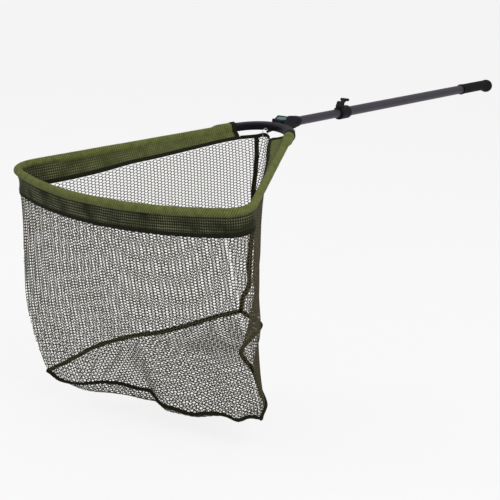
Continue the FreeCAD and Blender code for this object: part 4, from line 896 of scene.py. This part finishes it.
def floorRows():
    # drawn between the three floor seams, sagging most towards the front
    seam, peak = seams["front"], bag["sagPeak"]
    rows = []
    for i in range(bag["floorRows"]):
        share = 0.01 + 0.99 * i / (bag["floorRows"] - 1)
        if share < peak:
            sagShare = (share / peak) ** 1.4
        else:
            sagShare = math.cos(math.pi / 2 * (share - peak) / (1 - peak)) ** 0.8
        left, right = spotOn(seams["left"], share), spotOn(seams["right"], share)
        row = []
        for j in range(bag["floorColumns"]):
            across = j / (bag["floorColumns"] - 1)
            # the front seam's waves reach only the last of the floor
            lift = spotOn(seam, across) - mix(seam[0], seam[-1], across)
            sag = betweenMarks(bag["sag"], across)[0] * sagShare
            row.append(mix(left, right, across) + lift * share ** 12 - Vector((0, 0, sag)))
        rows.append(row)
    return rows


makeNet("netFloor", "net_floor", floorRows())


def makeTape(name, node, line, away, width, thick, across=None):
    # folded tape along a seam: away is the outward direction at each point, across the tape's width
    rows, uvRows = [], []
    sides = tapes["sides"]
    run = 0.0
    for i, point in enumerate(line):
        before, after = line[max(i - 1, 0)], line[min(i + 1, len(line) - 1)]
        along = (after - before).normalized()
        out = away(i)
        side = along.cross(out).normalized() if across is None else across(i)
        if i:
            run += (point - line[i - 1]).length
        row, uvRow = [], []
        for k in range(sides + 1):
            # round the tape's section, an oblong with rounded corners
            angle = 2 * math.pi * k / sides
            x, z = math.cos(angle), math.sin(angle)
            x = math.copysign(abs(x) ** 0.6, x)
            z = math.copysign(abs(z) ** 0.6, z)
            row.append(point + side * x * width / 2 + out * z * thick / 2)
            uvRow.append((run, k * (width + thick) * 2 / sides))
        rows.append(row)
        uvRows.append(uvRow)
    tape = gridMesh(name, rows, uvRows, materials["tape"])
    builder = bmesh.new()
    builder.from_mesh(tape.data)
    bmesh.ops.remove_doubles(builder, verts=builder.verts, dist=1e-6)
    bmesh.ops.holes_fill(builder, edges=builder.edges, sides=0)
    bmesh.ops.recalc_face_normals(builder, faces=builder.faces)
    builder.to_mesh(tape.data)
    builder.free()
    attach(tape, "net_head")
    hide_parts(node)


bagInside = Vector((0.4, 0, -0.2))


def fromInside(line):
    return lambda i: (line[i] - bagInside).normalized()


for side in ("left", "right", "front"):
    line = seams[side]
    makeTape("floorSeam" + side.title(), "floor_seam_" + side, line, fromInside(line),
             tapes["seamWidth"], tapes["seamThick"])

backLine = [p - Vector((tapes["backSeamThick"], 0, 0))
            for p in smoothLine(seams["back"], tapes["backSeamPoints"])]
makeTape("backSeam", "back_seam", backLine, lambda i: Vector((-1, 0, 0)),
         tapes["backSeamWidth"], tapes["backSeamThick"], lambda i: Vector((0, 1, 0)))
makeTape("backTape", "back_tape", [p + Vector((0, 0, tapes["backTapeLift"])) for p in arch],
         lambda i: Vector((-1, 0, 0)), tapes["backTapeWidth"], tapes["backTapeThick"])
print("bag made")


# finishes of the hard parts

finishes = {
    "tube": ("rear_tube", "front_tube", "frame_tube_left", "frame_tube_right"),
    "grip": ("grip",),
    "clamp": ("clamp_body", "clamp_lever", "mouth_ring", "brake_shoe", "butt_plug", "guide_bush",
              "front_ferrule"),
    "yoke": ("yoke", "head_block", "collar_band"),
    "button": ("fold_button",),
    "steel": ("button_spring", "net_ring"),
    "blackSteel": ("lever_pin", "fold_pin", "arm_rivet_left", "arm_rivet_right"),
}
for finish, names in finishes.items():
    for name in names:
        slots = nodes[name].data.materials
        slots.clear()
        slots.append(materials[finish])
print("finishes set")


# raised face of the fold button

pad = {
    "centre": (0.97575, 0.0, 0.0119), "tilt": 32.3, "width": 0.0235, "length": 0.0124,
    "rise": 0.0012, "edge": 0.0005, "sunk": 0.0002,
}


def makePad():
    # slightly crowned pad moulded on the button's own face
    mesh = bpy.data.meshes.new("buttonPad")
    builder = bmesh.new()
    bmesh.ops.create_cube(builder, size=1.0)
    bmesh.ops.scale(builder, vec=(pad["length"], pad["width"], pad["rise"]), verts=builder.verts)
    upper = [e for e in builder.edges if all(v.co.z > 0 for v in e.verts)]
    posts = [e for e in builder.edges if abs(e.verts[0].co.z - e.verts[1].co.z) > 0.5 * pad["rise"]]
    bmesh.ops.bevel(builder, geom=upper + posts, offset=pad["edge"], segments=3, affect="EDGES", profile=0.5)
    builder.to_mesh(mesh)
    builder.free()
    turn = Matrix.Rotation(math.radians(pad["tilt"]), 4, "Y")
    seat = Matrix.Translation((0, 0, pad["rise"] / 2 - pad["sunk"]))
    mesh.transform(Matrix.Translation(Vector(pad["centre"])) @ turn @ seat)
    mesh.materials.append(materials["button"])
    button = addObject("buttonPad", mesh)
    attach(button, "fold_button")


makePad()


# studio

studio = {
    "floorDrop": 0.06, "floorSize": 14,
    "eye": (3.5047, 1.8309, 0.5097), "yaw": 37.06, "pitch": 14.44, "roll": 1.44, "lens": 100.8,
    "aim": (1.1, 0, -0.1),
    # name, place, size and watts
    "lamps": [("keyLamp", (2.2, 3.2, 3.0), 2.2, 90), ("fillLamp", (2.5, -3.0, 2.2), 2.5, 35)],
}


def lookMatrix():
    yaw, pitch, roll = (math.radians(studio[k]) for k in ("yaw", "pitch", "roll"))
    forward = Vector((-math.cos(yaw) * math.cos(pitch), -math.sin(yaw) * math.cos(pitch), -math.sin(pitch)))
    right = forward.cross(Vector((0, 0, 1))).normalized()
    up = right.cross(forward)
    turnedRight = math.cos(roll) * right + math.sin(roll) * up
    turnedUp = math.cos(roll) * up - math.sin(roll) * right
    look = Matrix((turnedRight, turnedUp, -forward)).transposed().to_4x4()
    look.translation = Vector(studio["eye"])
    return look


camera = addObject("camera", bpy.data.cameras.new("camera"))
camera.data.lens = studio["lens"]
camera.data.sensor_width = 36
camera.data.clip_end = 60
camera.matrix_world = lookMatrix()
bpy.context.scene.camera = camera


def paleFloor():
    material, tree, shader = newMaterial("palePaint", Roughness=0.9)
    shader.inputs["Base Color"].default_value = toLinear("#e6e6e6")
    path = addNode(tree, "ShaderNodeLightPath")
    bright = addNode(tree, "ShaderNodeEmission", {"Color": (1, 1, 1, 1), "Strength": 1.0})
    share = maths(tree, "MULTIPLY", path.outputs["Is Camera Ray"], 0.82)
    blend = addNode(tree, "ShaderNodeMixShader", {}, {0: share, 1: shader.outputs[0], 2: bright.outputs[0]})
    tree.links.new(blend.outputs[0], tree.nodes["Material Output"].inputs["Surface"])
    return material


def makeStage():
    mesh = bpy.data.meshes.new("studioFloor")
    builder = bmesh.new()
    bmesh.ops.create_grid(builder, x_segments=1, y_segments=1, size=studio["floorSize"])
    builder.to_mesh(mesh)
    builder.free()
    mesh.transform(Matrix.Translation((0.8, 0, cadLow[2] - studio["floorDrop"])))
    mesh.materials.append(paleFloor())
    addObject("studioFloor", mesh)


def makeLamp(name, place, size, watts):
    data = bpy.data.lights.new(name, "AREA")
    data.size = size
    data.energy = watts
    direction = Vector(studio["aim"]) - Vector(place)
    turn = direction.to_track_quat("-Z", "Y").to_matrix().to_4x4()
    addObject(name, data).matrix_world = Matrix.Translation(place) @ turn


def makeSky():
    # white to the camera and dimmer as a light
    world = bpy.data.worlds.new("studioWorld")
    bpy.context.scene.world = world
    world.use_nodes = True
    tree = world.node_tree
    ground = tree.nodes["Background"]
    ground.inputs["Color"].default_value = (1, 1, 1, 1)
    path = addNode(tree, "ShaderNodeLightPath")
    tree.links.new(mapRange(tree, path.outputs["Is Camera Ray"], 0.55, 1.0), ground.inputs["Strength"])


makeStage()
for name, place, size, watts in studio["lamps"]:
    makeLamp(name, place, size, watts)
makeSky()
bpy.context.scene.view_settings.view_transform = "Standard"
print("studio made")
